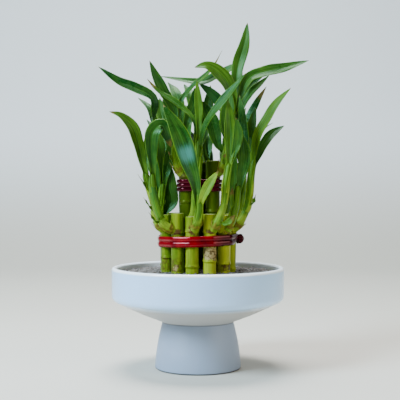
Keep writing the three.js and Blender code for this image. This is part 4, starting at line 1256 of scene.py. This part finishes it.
def blade_row(line, s, blade, look):
    """The points across a blade at a share of its length."""
    centre, along = line.at(s), line.along(s)
    face = square_to(mix(np.array(blade.base_face, float), np.array(blade.tip_face, float), s), along)
    side = np.cross(along, face)
    fold = math.radians(fold_at(s))
    half = max(blade.width * blade_share(s), LEAST_WIDTH) / 2
    phase = line.row[1][0]
    calm = look.wave * math.sin(math.pi * s)
    swing = calm * math.sin(2 * math.pi * WAVE_TURNS * s + phase)
    ripple = RIPPLE_SHARE * calm * math.sin(2 * math.pi * RIPPLE_TURNS * s + 1.7 * phase)
    # Each half rises from the midrib and levels out towards its margin
    lift = half * math.sin(fold) * (1.2 * np.abs(ACROSS) ** 1.35 - 0.2 * ACROSS ** 4)
    lift = lift + swing * np.sign(ACROSS) * ACROSS ** 2 + ripple * ACROSS ** 4
    return centre + np.outer(ACROSS * half * math.cos(fold), side) + np.outer(lift, face)


def sheath_rows(stem, blade):
    """Rows that wrap the stem below a blade, each (points, share along the blade, young, dry)."""
    reach = min(blade.sheath, blade.at * stem.line.length * SHEATH_SHARE)
    for k in range(SHEATH_STEPS):
        t = k / SHEATH_STEPS
        q = stem.past(blade.at, -reach * (1 - t))
        points = stem.arc(q, blade.base_face, mix(*SHEATH_WRAP, t), mix(*SHEATH_PROUD, smooth(t * 1.6)))
        yield points, -SHEATH_COURSE * (1 - t), blade.young + mix(*SHEATH_YOUNG, t), SHEATH_DRY * (1 - t) ** 3


def open_rows(stem, blade, look):
    """Rows from where a blade leaves the stem to its tip, each as sheath_rows gives them."""
    base = stem.line.at(blade.at)
    lean = np.array(blade.path[-1], float) - base
    lean[2] = 0
    line = Path([base + unit(lean) * BLADE_SEAT, *blade.path])
    opening = min(look.opening, line.length * OPENING_SHARE)
    for i in range(blade.steps + 1):
        s = (i / blade.steps) ** ROW_POWER
        points = blade_row(line, s, blade, look)
        opened = float(smooth(s * line.length / opening))
        if opened < 1:
            q = stem.past(blade.at, s * line.length)
            hug = stem.arc(q, blade.base_face, mix(*OPENING_WRAP, opened), mix(*OPENING_PROUD, opened))
            points = mix(hug, points, opened)
        # Painted sheen is carried as dryness below zero
        middle, half, strength = blade.painted_sheen
        dry = smooth((s - blade.dry_from) / (1.02 - blade.dry_from)) - strength * hump(s, middle, half)
        yield points, s, blade.young + 0.3 * (1 - smooth(s * 3.5)), dry


def lay_blade(skin, stem, blade, look):
    """A blade that wraps the stem at its base, narrows, widens and runs out to its tip."""
    points, shares, young, dry = zip(*sheath_rows(stem, blade), *open_rows(stem, blade, look))
    grid = np.array(points)
    course = np.empty((*grid.shape[:2], 2))
    course[..., 0] = ACROSS / 2 + 0.5
    course[..., 1] = np.array(shares)[:, None]
    tint = np.empty((*grid.shape[:2], 4))
    tint[..., 0] = np.minimum(young, 1)[:, None]
    # Dryness; below zero it carries painted sheen
    tint[..., 1] = np.array(dry)[:, None]
    tint[..., 2:] = (blade.draw, 1)
    thinning = mix(1, THIN_TIP, np.linspace(0, 1, len(grid)))
    thick = look.thick * thinning[:, None] * mix(THIN_MARGIN, 1, (1 - np.abs(ACROSS)) ** 0.8)[None]
    skin.sheet(grid, thick, course, tint)


def lay_stem(skin, stem, draw):
    """The stem from inside its cane, swollen at its foot, to a soft point between the last blades."""
    angle = round_angles(STEM_SIDES)
    rows, tints = [], []
    for i in range(STEM_STEPS + 1):
        s = i / STEM_STEPS
        centre, back, side = stem.frame(s, FRONT)
        gone = s * stem.line.length
        ring = RING_HEIGHT * hump((gone + 5 * draw) % RING_APART, RING_MIDDLE, RING_WIDTH)
        horn = HORN_HEIGHT * hump(gone, HORN_MIDDLE, HORN_WIDTH)
        ended = max(s - STEM_NARROWS_AT, 0) / (1 - STEM_NARROWS_AT)
        radius = (stem.radius(s) - STEM_INSET + ring + horn) * math.sqrt(max(1 - ended ** 2, 0.02))
        rows.append(centre + radius * (np.outer(np.cos(angle), -back) + np.outer(np.sin(angle), side)))
        tints.append((mix(*STEM_YOUNG, s), STEM_DRY * hump(gone, 3, 3), draw, 1))
    grid = np.array(rows)
    course = np.tile(np.stack([0.25 + 0.17 * np.sin(angle), np.full(STEM_SIDES, 0.3)], -1), (len(grid), 1))
    skin.lay(grid, tube_faces(*grid.shape[:2]), course, np.repeat(tints, STEM_SIDES, axis=0))


def lay_husk(skin, stem, face, at, length, wrap, flare):
    """A dry, pointed scale about the foot of a shoot, its tip standing off."""
    rows = []
    for k in range(HUSK_STEPS + 1):
        t = k / HUSK_STEPS
        spread = wrap * (1 - t ** 1.8) + 3
        rows.append(stem.arc(stem.past(at, t * length), face, spread, mix(0.9, 1.4, t) + flare * t ** 2))
    grid = np.array(rows)
    thick = np.full(grid.shape[:2], HUSK_THICK)
    tint = np.tile(HUSK_TINT, (*grid.shape[:2], 1))
    skin.sheet(grid, thick, np.zeros((*grid.shape[:2], 2)), tint, slot=1)


def lay_husks(skin, stem, cane, outward, order, count):
    """Husks all round the foot of a shoot."""
    for k in range(count):
        face = Matrix.Rotation(math.radians(360 * golden(k + order)), 3, "Z") @ Vector(outward)
        at = stem.past(0, cane.radius - mix(*HUSK_DEPTH, golden(3 * k)))
        kind = WIDE_HUSK if k < WIDE_HUSKS else NARROW_HUSK
        length, flare = mix(*kind["length"], golden(k)), mix(*kind["flare"], golden(5 * k))
        lay_husk(skin, stem, face, at, length, kind["wrap"], flare)


def build_shoot(name, plan, order, look, finishes):
    """A leafy shoot: stem, husks at its foot, and blades with their sheaths."""
    cane_name, sprout, points, blades, bracts = plan
    cane = CANES[cane_name]
    rng = Random(FIRST_SEED + order)
    start = cane.axis(sprout)
    outward = unit((np.array(points[0], float) - start) * (1, 1, 0))
    inset = (cane.radius - STEM_UNDER_RIND) * STEM_START
    stem = Stem(start + outward * inset, points, (look.stem_from, look.stem_to))
    skin = Skin()
    lay_stem(skin, stem, rng.random())
    lay_husks(skin, stem, cane, outward, order, look.husks)
    for k, row in enumerate(blades):
        young = 0.04 + 0.14 * rng.random() + (0.08 if k == len(blades) - 1 else 0)
        dry_from = 0.93 + 0.04 * rng.random()
        blade = Blade(*row, look.steps, BLADE_SHEATH, YOUNG_BLADES.get((name, k), young),
                      DRY_TIPS.get((name, k), dry_from), rng.random(), PAINTED_SHEEN_BLADES.get((name, k), NO_PAINTED_SHEEN))
        lay_blade(skin, stem, blade, look)
    for at, path, width, *faces in bracts:
        bract = Blade(at, path, BRACT_WIDTH * width, *faces, look.steps // 2, BRACT_SHEATH, BRACT_YOUNG,
                      BRACT_DRY_FROM, rng.random())
        lay_blade(skin, stem, bract, look)
    skin.piece(f"{name}_leaves", finishes, "leaf", name)


# ---- ties ----
# The wire's gap to the canes, the steps of its route, and where in a turn it climbs to the next one
TIE_GAP, ARC_STEP, LOOP_STEP, WIRE_SIDES = 0.45, 7, 1.1, 18
CLIMB_FROM = 0.93
# The twisted ends: turns, rows and sides, relief as shares of the size, and how far out they sit
KNOT_TURNS, KNOT_ROWS, KNOT_SIDES = 2.5, 40, 48
KNOT_RIDGE, KNOT_UNEVEN, KNOT_GRAIN, KNOT_SEAT = 0.06, 0.10, 2.1, 0.55


def wrap_points(bunch, height, tie):
    """One turn of the wire's route round a bunch: arcs on the canes and straight runs between them."""
    centres = [cane.axis(height) for cane in bunch]
    route = []
    for i, centre in enumerate(centres):
        before, after = centres[i - 1], centres[(i + 1) % len(centres)]
        enter = math.atan2(before[0] - centre[0], centre[1] - before[1])
        leave = math.atan2(centre[0] - after[0], after[1] - centre[1])
        while leave < enter:
            leave += 2 * math.pi
        steps = max(1, round(math.degrees(leave - enter) / ARC_STEP))
        reach = bunch[i].radius + TIE_GAP + tie["depth"] / 2
        for k in range(steps + 1):
            angle = mix(enter, leave, k / steps)
            route.append((centre[0] + reach * math.cos(angle), centre[1] + reach * math.sin(angle)))
    return np.array(route)


def even_loop(route):
    """The closed route at even steps."""
    closed = np.vstack([route, route[:1]])
    gone = np.concatenate([[0], np.cumsum(np.linalg.norm(np.diff(closed, axis=0), axis=1))])
    count = int(gone[-1] / LOOP_STEP)
    marks = np.arange(count) * gone[-1] / count
    return np.stack([np.interp(marks, gone, closed[:, k]) for k in range(2)], -1)


def wire_mesh(points, tie, tree, finish):
    """A wire of oval section through points, in millimetres."""
    curve = bpy.data.curves.new("wire", "CURVE")
    curve.dimensions = "3D"
    spline = curve.splines.new("POLY")
    spline.points.add(len(points) - 1)
    for point, place in zip(spline.points, points):
        point.co = (*(np.array(place) * MM), 1)
    return through_tree(bpy.data.objects.new("wire", curve), tree, Height=tie["strand"] * MM,
                        Depth=tie["depth"] * MM, Sides=WIRE_SIDES, Material=finish)


def build_tie(name, tie, tree, finish):
    """A wire wound several times round a bunch, its ends twisted together outside it."""
    bunch = [cane for cane in CANES.values() if tie["bunch"] in cane.name]
    loop = even_loop(wrap_points(bunch, tie["middle"], tie))
    out = towards(tie["bearing"])
    # The turns start where the route lies farthest out towards the twisted ends
    beside = np.abs(loop @ np.array([-out[1], out[0]]))
    start = int(np.argmax(loop @ out[:2] - 0.2 * beside))
    loop = np.roll(loop, -start, axis=0)
    count, turns, pitch = len(loop), tie["strands"], tie["pitch"]
    winding = []
    for i in range(count * turns + 1):
        turn, step = divmod(i, count)
        level = (min(turn, turns - 1) - (turns - 1) / 2) * pitch
        if turn < turns - 1:
            level += pitch * float(smooth((step / count - CLIMB_FROM) / (1 - CLIMB_FROM)))
        x, y = loop[i % count]
        winding.append((x, y, tie["middle"] + level + x * tie["tilt"]))
    knot_at = np.array([*loop[0], tie["middle"] + loop[0][0] * tie["tilt"]])
    half = (turns - 1) / 2 * pitch + tie["strand"] * 0.4
    meshes = [wire_mesh(winding, tie, tree, finish), knot_mesh(knot_at, out, tie["knob"], half)]
    join_meshes(f"{name}_wire", meshes, finish, "wire", name)


def knot_mesh(place, out, knob, half):
    """The ends of the wire, wound about each other into a ridged lump."""
    across = np.array([-out[1], out[0], 0.0])
    reach, breadth = knob
    rings = []
    for i in range(KNOT_ROWS + 1):
        high = -math.cos(math.pi * mix(0.02, 0.98, i / KNOT_ROWS))
        ring = math.sqrt(1 - high * high)
        for angle in round_angles(KNOT_SIDES):
            spot = Vector((math.cos(angle) * ring, math.sin(angle) * ring, high))
            ridge = KNOT_RIDGE * math.sin(2 * math.pi * KNOT_TURNS * high + angle)
            swell = 1 + ridge + KNOT_UNEVEN * noise.noise(spot * KNOT_GRAIN)
            beside = across * breadth * spot.y * swell
            raised = np.array([0, 0, half * spot.z * mix(1, swell, 0.4)])
            rings.append(place + out * reach * (KNOT_SEAT + spot.x * swell) + beside + raised)
    return new_mesh("knot", rings, tube_faces(KNOT_ROWS + 1, KNOT_SIDES))


def join_meshes(name, meshes, finish, slot, *nodes):
    """One piece from several plain meshes of the same finish."""
    work = bmesh.new()
    for mesh in meshes:
        work.from_mesh(mesh)
    whole = bpy.data.meshes.new(name)
    bmesh.ops.recalc_face_normals(work, faces=work.faces)
    work.to_mesh(whole)
    work.free()
    whole.materials.clear()
    whole.materials.append(finish)
    whole.polygons.foreach_set("material_index", [0] * len(whole.polygons))
    settle(bpy.data.objects.new(name, whole), slot, *nodes)


# ---- bowl ----
# The foot, which narrows upwards, and the hollow inside the ring it stands on
FOOT_RADIUS, FOOT_TOP_RADIUS, FOOT_HEIGHT, FOOT_BULGE, FOOT_ROWS = 39.9, 33.0, 43.5, 1.7, range(4, 42, 3)
HOLLOW_RADIUS, RING_RADIUS, HOLLOW_HEIGHT = 27, 30, 1.6
# Where the upright band starts outside and inside, and the floor of the bowl
BAND_CORNER, BAND_BOTTOM, FLOOR_RADIUS, FLOOR = 64.1, 62.6, 38, 50.0
# Steps along the outline that are dropped or divided, and how near to the middle it ends
SHORTEST, LONGEST, CENTRE = 0.02, 5, 0.4


def bowl_profile(look):
    """The bowl's outline (r, z), from the middle underneath, over the rim, to the middle of the floor."""
    radius, height, wall = look.radius / MM, look.height / MM, look.wall / MM
    lip, inner = wall / 2 - 0.05, radius - wall
    foot = [(mix(FOOT_RADIUS, FOOT_TOP_RADIUS, (z / FOOT_HEIGHT) ** FOOT_BULGE), z, 0) for z in FOOT_ROWS]
    corners = [
        (0, HOLLOW_HEIGHT, 0), (HOLLOW_RADIUS, HOLLOW_HEIGHT, 4), (RING_RADIUS, 0, 0.7),
        (FOOT_RADIUS, 0, 1.6), *foot, (FOOT_TOP_RADIUS, FOOT_HEIGHT, 1.0), (52, 51.1, 60), (68, 58.5, 60),
        (radius, BAND_CORNER, 6.5), (radius, height, lip), (inner, height, lip), (inner, BAND_BOTTOM, 7),
        (FLOOR_RADIUS, FLOOR, 14), (0, FLOOR, 0),
    ]
    profile = rounded(corners, step=7)
    apart = np.linalg.norm(np.diff(profile, axis=0), axis=1)
    profile = profile[np.concatenate([[True], apart > SHORTEST])]
    rows = [profile[0]]
    for a, b in zip(profile, profile[1:]):
        parts = max(1, int(np.linalg.norm(b - a) / LONGEST))
        rows.extend(mix(a, b, k / parts) for k in range(1, parts + 1))
    rows[0][0] = rows[-1][0] = CENTRE
    return np.array(rows)


def build_bowl(look, finish):
    """The footed bowl, turned from one profile with rounded rim and crisp foot."""
    grid = lathe(bowl_profile(look), look.sides)
    skin = Skin()
    skin.lay(grid, tube_faces(*grid.shape[:2]))
    skin.piece("bowl_glazed", [finish], "glaze", "bowl", crease=48)


# ---- gravel ----
# The bed under the pebbles: its faces, its outline (r, z) and its lumps
GRAVEL_SIDES, MOUND_ROWS = 120, 34
GRAVEL_WALL, GRAVEL_MIDDLE, BED_BELOW_TOP = 75.2, 0.5, 1.2
GRAVEL_UNDERSIDE = [(GRAVEL_MIDDLE, 50.4), (38, 50.4), (69.7, 64.6), (73.8, 67.2), (GRAVEL_WALL, 70.2)]
BED_UNEVEN, BED_GRAIN, BED_SHADE = 0.35, 0.25, 0.1
# Where pebbles have room: how far below the top, and how far from the wall and from a cane's axis
ROOM_BELOW_TOP, ROOM_FROM_WALL, ROOM_FROM_CANE = 2.5, 2.2, 5.2
# How lumpy a pebble is, as a share of the size
PEBBLE_UNEVEN = 0.16


def build_gravel(look, tree, finish):
    """Gravel that fills the bowl and rises a little towards the canes."""
    top, mound = look.level / MM, look.mound / MM
    brim = top - BED_BELOW_TOP
    profile = [*GRAVEL_UNDERSIDE, (GRAVEL_WALL, brim)]
    for i in range(1, MOUND_ROWS):
        t = i / MOUND_ROWS
        profile.append((GRAVEL_WALL * (1 - t), brim + mound * math.sin(math.pi / 2 * t)))
    profile.append((GRAVEL_MIDDLE, brim + mound))
    grid = lathe(np.array(profile), GRAVEL_SIDES)
    for spot in grid[len(GRAVEL_UNDERSIDE) + 1:].reshape(-1, 3):
        spot[2] += BED_UNEVEN * noise.noise(Vector(spot) * BED_GRAIN)
    flat = grid.reshape(-1, 3)
    canes = np.array([cane.axis(top)[:2] for cane in CANES.values()])
    from_canes = np.linalg.norm(flat[:, None, :2] - canes[None], axis=2).min(axis=1)
    from_middle = np.linalg.norm(flat[:, :2], axis=1)
    room = ((flat[:, 2] > top - ROOM_BELOW_TOP) & (from_middle < GRAVEL_WALL - ROOM_FROM_WALL)
            & (from_canes > ROOM_FROM_CANE)).astype(np.float32)
    mesh = new_mesh("gravel bed", flat, tube_faces(len(profile), GRAVEL_SIDES), soft=False)
    for label, values in (("room", room), ("pebble", np.full(len(room), BED_SHADE, np.float32))):
        mesh.attributes.new(label, "FLOAT", "POINT").data.foreach_set("value", values)
    bed = bpy.data.objects.new("gravel_bed", mesh)
    laid = through_tree(bed, tree, Spacing=look.spacing, Size=look.size,
                        Unevenness=look.size * PEBBLE_UNEVEN, Seed=look.seed, Material=finish)
    settle(bpy.data.objects.new("gravel_fill", laid), "gravel", "gravel")


# ---- studio, in metres ----
FLOOR_REACH, SWEEP_START, SWEEP_RADIUS, WALL_TOP = 3.0, 1.0, 0.6, 3.0
# Lights: (place, what it looks at, size)
KEY_LIGHT = ((-1.15, -0.85, 1.05), (0, 0, 0.17), 0.7)
FILL_LIGHT = ((1.3, -0.6, 0.6), (0, 0, 0.15), 0.9)
TOP_LIGHT = ((-0.1, 0.25, 1.5), (0, 0, 0.2), 0.8)
CAMERA_AT, CAMERA_LOOKS_AT = (0.0019, -0.893, 0.172), (0.0019, 0.0, 0.1562)
SENSOR_MM, LENS_MM = 36.0, 86.4


def aim(obj, place, target):
    """Stands an object at a place and turns it to look at a target."""
    obj.location = place
    obj.rotation_euler = (Vector(target) - Vector(place)).to_track_quat("-Z", "Y").to_euler()
    bpy.context.scene.collection.objects.link(obj)
    return obj


def area_light(name, place, target, size, power, colour):
    light = bpy.data.lights.new(name, "AREA")
    light.shape, light.size, light.energy, light.color = "DISK", size, power, colour[:3]
    aim(bpy.data.objects.new(name, light), place, target)


def build_sweep(look):
    """A pale floor that sweeps up into a pale wall."""
    profile = [(-FLOOR_REACH, 0.0), (SWEEP_START, 0.0)]
    for angle in np.linspace(0.1, math.pi / 2, 12):
        profile.append((SWEEP_START + SWEEP_RADIUS * math.sin(angle), SWEEP_RADIUS * (1 - math.cos(angle))))
    profile.append((SWEEP_START + SWEEP_RADIUS, WALL_TOP))
    points = np.array([(x, y, z) for y, z in profile for x in (-FLOOR_REACH, FLOOR_REACH)])
    mesh = new_mesh("studio_sweep", points / MM, weave(len(profile), 2).tolist())
    mesh.materials.append(paper_finish(look))
    floor = bpy.data.objects.new("studio_sweep", mesh)
    bpy.context.scene.collection.objects.link(floor)


def build_stage(look):
    """The paper sweep, soft lights, and the camera."""
    build_sweep(look)
    world = bpy.data.worlds.new("studio light")
    world.use_nodes = True
    back = world.node_tree.nodes["Background"]
    back.inputs["Color"].default_value = rgba(look.air)
    back.inputs["Strength"].default_value = look.air_strength
    bpy.context.scene.world = world
    area_light("key_light", *KEY_LIGHT, look.key, look.key_colour)
    area_light("fill_light", *FILL_LIGHT, look.fill, look.fill_colour)
    area_light("top_light", *TOP_LIGHT, look.top, look.top_colour)

    camera = bpy.data.cameras.new("camera")
    camera.sensor_width, camera.lens = SENSOR_MM, LENS_MM
    bpy.context.scene.camera = aim(bpy.data.objects.new("camera", camera), CAMERA_AT, CAMERA_LOOKS_AT)


# ---- the add-on ----
def colour_property(name, description, default):
    return FloatVectorProperty(name=name, description=description, default=default, subtype="COLOR",
                               min=0, max=1)


def metres(name, description, default):
    return FloatProperty(name=name, description=description, default=default, unit="LENGTH")


def millimetres(name, description, default):
    return FloatProperty(name=name, description=f"{description}, in millimetres", default=default)


def watts(name, description, default):
    return FloatProperty(name=name, description=description, default=default, unit="POWER")


BOWL_LOW, BOWL_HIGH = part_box("bowl")


class BambooBowl(bpy.types.PropertyGroup):
    """Sizes and glaze of the footed bowl."""
    radius: metres("Radius", "Outer radius of the upright band", (BOWL_HIGH.x - BOWL_LOW.x) / 2)
    height: metres("Height", "Height of the rim above the floor", BOWL_HIGH.z)
    wall: metres("Wall", "Thickness of the wall at the rim", 0.0045)
    sides: IntProperty(name="Sides", description="Faces round the bowl", default=256, min=32)
    glaze: colour_property("Glaze", "Colour of the glaze", (0.44, 0.68, 0.97))
    glaze_thick: colour_property("Thick glaze", "Colour where the glaze lies thicker", (0.41, 0.64, 0.93))
    # Painted shade: the underside's glaze darkened where the bowl shades it
    glaze_underside_shade: colour_property("Low glaze", "Colour of the glaze on the underside", (0.44, 0.428, 0.41))
    # Painted shade: the foot darkened under the bowl
    glaze_foot_shade: colour_property("Foot glaze", "Colour of the glaze on the foot", (0.27, 0.33, 0.43))
    # Painted light: the pale glaze over the rim and on the upper inner wall
    glaze_painted_light: colour_property("Rim glaze", "Colour of the glaze over the rim", (0.88, 0.94, 0.98))
    pit: colour_property("Pits", "Small pits in the glaze", (0.33, 0.31, 0.28))
    # Painted shade in the crease where the foot meets the bowl
    seam: colour_property("Seam", "Shade where the foot meets the bowl", (0.10, 0.10, 0.11))
    # The foot's bare edge, darkened as painted contact shadow
    clay_and_contact_shade: colour_property("Clay", "Bare edge of the foot", (0.10, 0.097, 0.10))


class BambooGravel(bpy.types.PropertyGroup):
    """The gravel in the bowl."""
    level: metres("Level", "Height of the gravel at the wall", 0.088)
    mound: metres("Mound", "Rise of the gravel towards the canes", 0.0025)
    size: metres("Pebble size", "Length of the larger pebbles", 0.0052)
    spacing: metres("Spacing", "Least distance between pebbles", 0.0028)
    seed: IntProperty(name="Seed", description="Draw of the scattering", default=4)
    # The pebbles' colours are darkened as painted shade in the hollow of the bowl
    dark: colour_property("Dark", "Darkest pebbles", (0.03, 0.025, 0.022))
    warm: colour_property("Warm", "Brown pebbles", (0.085, 0.064, 0.05))
    grey: colour_property("Grey", "Grey pebbles", (0.11, 0.10, 0.095))
    pale: colour_property("Pale", "Palest pebbles", (0.17, 0.155, 0.145))
    dust: colour_property("Dust", "Dust in the hollows of the pebbles", (0.10, 0.085, 0.07))
    grain: colour_property("Grains", "Pale grains in the pebbles", (0.4, 0.37, 0.34))


class BambooCanes(bpy.types.PropertyGroup):
    """Form and colours of the cut canes."""
    sides: IntProperty(name="Sides", description="Faces round a cane", default=48, min=8)
    swell: millimetres("Node swell", "How far a node ring stands out", 0.72)
    uneven: FloatProperty(name="Unevenness", description="Share by which the thickness varies", default=0.02)
    green: colour_property("Green", "Greener rind", (0.045, 0.10, 0.002))
    green_pale: colour_property("Pale green", "Streaks in the greener rind", (0.09, 0.17, 0.004))
    yellow: colour_property("Yellow", "Yellower rind", (0.33, 0.37, 0.012))
    yellow_pale: colour_property("Pale yellow", "Streaks in the yellower rind", (0.48, 0.51, 0.03))
    stain: colour_property("Stain", "Sheath scars and specks", (0.075, 0.035, 0.012))
    # Painted shade on the rind inside the bunch
    green_painted_shade: colour_property("Deep green", "Rind in the shade of the bunch", (0.022, 0.045, 0.003))
    husk: colour_property("Husk", "Dry scales left on the rind", (0.27, 0.18, 0.06))
    husk_pale: colour_property("Pale husk", "Paler patches of the dry scales", (0.42, 0.32, 0.15))
    husk_dark: colour_property("Dark husk", "Cracks in the dry scales", (0.05, 0.02, 0.008))
    cut: colour_property("Cut", "Cut face", (0.30, 0.30, 0.11))
    cut_core: colour_property("Cut core", "Pith in the cut face", (0.21, 0.22, 0.08))


class BambooShoots(bpy.types.PropertyGroup):
    """Form and colours of the leafy shoots."""
    steps: IntProperty(name="Steps", description="Rows of faces along a blade", default=36, min=8)
    veins: FloatProperty(name="Veins", description="Veins across a blade", default=13)
    wave: millimetres("Wave", "Height of the waves in a blade", 0.55)
    thick: millimetres("Thickness", "Thickness at the midrib", 0.55)
    opening: millimetres("Opening", "Length in which a sheath opens to its blade", 15)
    gloss: FloatProperty(name="Roughness", description="Least roughness of a blade", default=0.21)
    relief: FloatProperty(name="Relief", description="Strength of the veins' relief", default=0.5)
    husks: IntProperty(name="Husks", description="Dry scales about the foot of a shoot", default=9, min=0)
    stem_from: millimetres("Stem foot", "Radius of a stem at its foot", 4.0)
    stem_to: millimetres("Stem top", "Radius of a stem at its top", 2.5)
    deep: colour_property("Deep", "Older blades", (0.001, 0.010, 0.001))
    deep_pale: colour_property("Deep veins", "Veins of older blades", (0.014, 0.090, 0.010))
    fresh: colour_property("Fresh", "Young blades and stems", (0.028, 0.085, 0.001))
    fresh_pale: colour_property("Fresh veins", "Veins of young blades", (0.18, 0.33, 0.008))
    cool: colour_property("Cool", "Older blades in a bluer draw", (0.001, 0.019, 0.005))
    pale_base: colour_property("Pale base", "Foot of the shoots", (0.24, 0.32, 0.015))
    under: colour_property("Underside", "Underside of the blades", (0.010, 0.065, 0.010))
    # Painted sheen: the pale reflection on a few blades
    painted_sheen: colour_property("Wax", "Pale wax on a few blades", (0.045, 0.17, 0.125))
    rib: colour_property("Midrib", "Midrib of the blades", (0.03, 0.13, 0.01))
    dry: colour_property("Dry", "Dry tips and husks", (0.17, 0.13, 0.018))
    dry_dark: colour_property("Dark dry", "Darker fibres of dry parts", (0.05, 0.022, 0.005))
    straw: colour_property("Straw", "Golden husk", (0.20, 0.22, 0.02))


class BambooTies(bpy.types.PropertyGroup):
    """The red wire."""
    red: colour_property("Red", "Colour of the lower wire", (0.25, 0.0, 0.004))
    # Deep red: darker clouds in the wire, and the base of its painted shade
    red_deep: colour_property("Deep red", "Colour where the lower wire is worn", (0.07, 0.0, 0.003))
    # The upper wire: the same red, darkened as painted shade under the leaves
    old: colour_property("Old red", "Colour of the older, upper wire", (0.05, 0.0, 0.005))
    shadowed_deep: colour_property("Old deep red", "Colour where the upper wire is worn", (0.016, 0.0, 0.002))
    scuff: colour_property("Scuffs", "Rubbed spots of the wire", (0.4, 0.06, 0.06))
    gloss: FloatProperty(name="Roughness", description="Least roughness of the wire", default=0.11)


class BambooStage(bpy.types.PropertyGroup):
    """The studio about the plant."""
    paper: colour_property("Paper", "Floor about the bowl", (0.61, 0.575, 0.50))
    # Painted shade on the floor towards the wall, and painted light up the wall
    paper_painted_shade: colour_property("Far paper", "Floor farther back", (0.555, 0.53, 0.455))
    paper_painted_light: colour_property("Wall paper", "Wall behind the bowl", (0.83, 0.86, 0.87))
    paper_cloud: colour_property("Paper clouds", "Faint clouds in the paper", (0.3, 0.3, 0.3))
    air: colour_property("Air", "Light from all round", (0.9, 0.95, 1.0))
    air_strength: FloatProperty(name="Air strength", description="Strength of that light", default=0.11)
    key: watts("Key", "Power of the main light", 74)
    key_colour: colour_property("Key colour", "Colour of the main light", (0.62, 0.83, 1.0))
    fill: watts("Fill", "Power of the light on the other side", 9)
    fill_colour: colour_property("Fill colour", "Colour of the light on the other side", (1.0, 0.93, 0.82))
    top: watts("Top", "Power of the light from above", 43)
    top_colour: colour_property("Top colour", "Colour of the light from above", (0.95, 0.98, 1.0))


class BAMBOO_OT_bowl(bpy.types.Operator):
    """Turn the footed bowl and glaze it"""
    bl_idname = "bamboo.bowl"
    bl_label = "Turn the bowl"

    def execute(self, context):
        look = context.scene.bamboo_bowl
        build_bowl(look, glaze_finish(look))
        return {"FINISHED"}


class BAMBOO_OT_gravel(bpy.types.Operator):
    """Fill the bowl with gravel"""
    bl_idname = "bamboo.gravel"
    bl_label = "Lay the gravel"

    def execute(self, context):
        look = context.scene.bamboo_gravel
        build_gravel(look, pebble_tree(), pebble_finish(look))
        return {"FINISHED"}


class BAMBOO_OT_canes(bpy.types.Operator):
    """Stand the cut canes in their two rings"""
    bl_idname = "bamboo.canes"
    bl_label = "Stand the canes"

    def execute(self, context):
        look = context.scene.bamboo_canes
        finishes = [rind_finish(look), cut_finish(look)]
        for cane in CANES.values():
            build_cane(cane, look, finishes)
        return {"FINISHED"}


class BAMBOO_OT_shoots(bpy.types.Operator):
    """Grow the leafy shoots"""
    bl_idname = "bamboo.shoots"
    bl_label = "Grow the shoots"

    def execute(self, context):
        look = context.scene.bamboo_shoots
        finishes = [blade_finish(look), husk_finish(look)]
        for order, (name, plan) in enumerate(all_shoots().items()):
            build_shoot(name, plan, order, look, finishes)
        return {"FINISHED"}


class BAMBOO_OT_ties(bpy.types.Operator):
    """Wind the red wire round both bunches"""
    bl_idname = "bamboo.ties"
    bl_label = "Wind the ties"

    def execute(self, context):
        look, tree = context.scene.bamboo_ties, wire_tree()
        # The upper wire's colours are painted shade under the leaves
        coats = {"tie_lower": ("red wire", look.red, look.red_deep),
                 "tie_upper": ("old red wire", look.old, look.shadowed_deep)}
        for name, tie in TIES.items():
            build_tie(name, tie, tree, wire_finish(look, *coats[name], tie["painted_shade"]))
        return {"FINISHED"}


class BAMBOO_OT_stage(bpy.types.Operator):
    """Set the pale floor, the lights and the camera"""
    bl_idname = "bamboo.stage"
    bl_label = "Set the stage"

    def execute(self, context):
        build_stage(context.scene.bamboo_stage)
        return {"FINISHED"}


class BAMBOO_PT_panel(bpy.types.Panel):
    """Lists the steps that dress the plant"""
    bl_label = "Lucky Bamboo"
    bl_idname = "BAMBOO_PT_panel"
    bl_space_type = "VIEW_3D"
    bl_region_type = "UI"
    bl_category = "Bamboo"

    def draw(self, context):
        for operator in OPERATORS:
            self.layout.operator(operator.bl_idname)


GROUPS = {"bamboo_bowl": BambooBowl, "bamboo_gravel": BambooGravel, "bamboo_canes": BambooCanes,
          "bamboo_shoots": BambooShoots, "bamboo_ties": BambooTies, "bamboo_stage": BambooStage}
OPERATORS = [BAMBOO_OT_bowl, BAMBOO_OT_gravel, BAMBOO_OT_canes, BAMBOO_OT_shoots, BAMBOO_OT_ties,
             BAMBOO_OT_stage]
CLASSES = [*GROUPS.values(), *OPERATORS, BAMBOO_PT_panel]


def register():
    for each in CLASSES:
        bpy.utils.register_class(each)
    for name, group in GROUPS.items():
        setattr(bpy.types.Scene, name, PointerProperty(type=group))


def unregister():
    for name in GROUPS:
        delattr(bpy.types.Scene, name)
    for each in reversed(CLASSES):
        bpy.utils.unregister_class(each)


def main():
    register()
    build_effects()
    for operator in OPERATORS:
        group, step = operator.bl_idname.split(".")
        getattr(getattr(bpy.ops, group), step)()


if __name__ == "__main__":
    main()
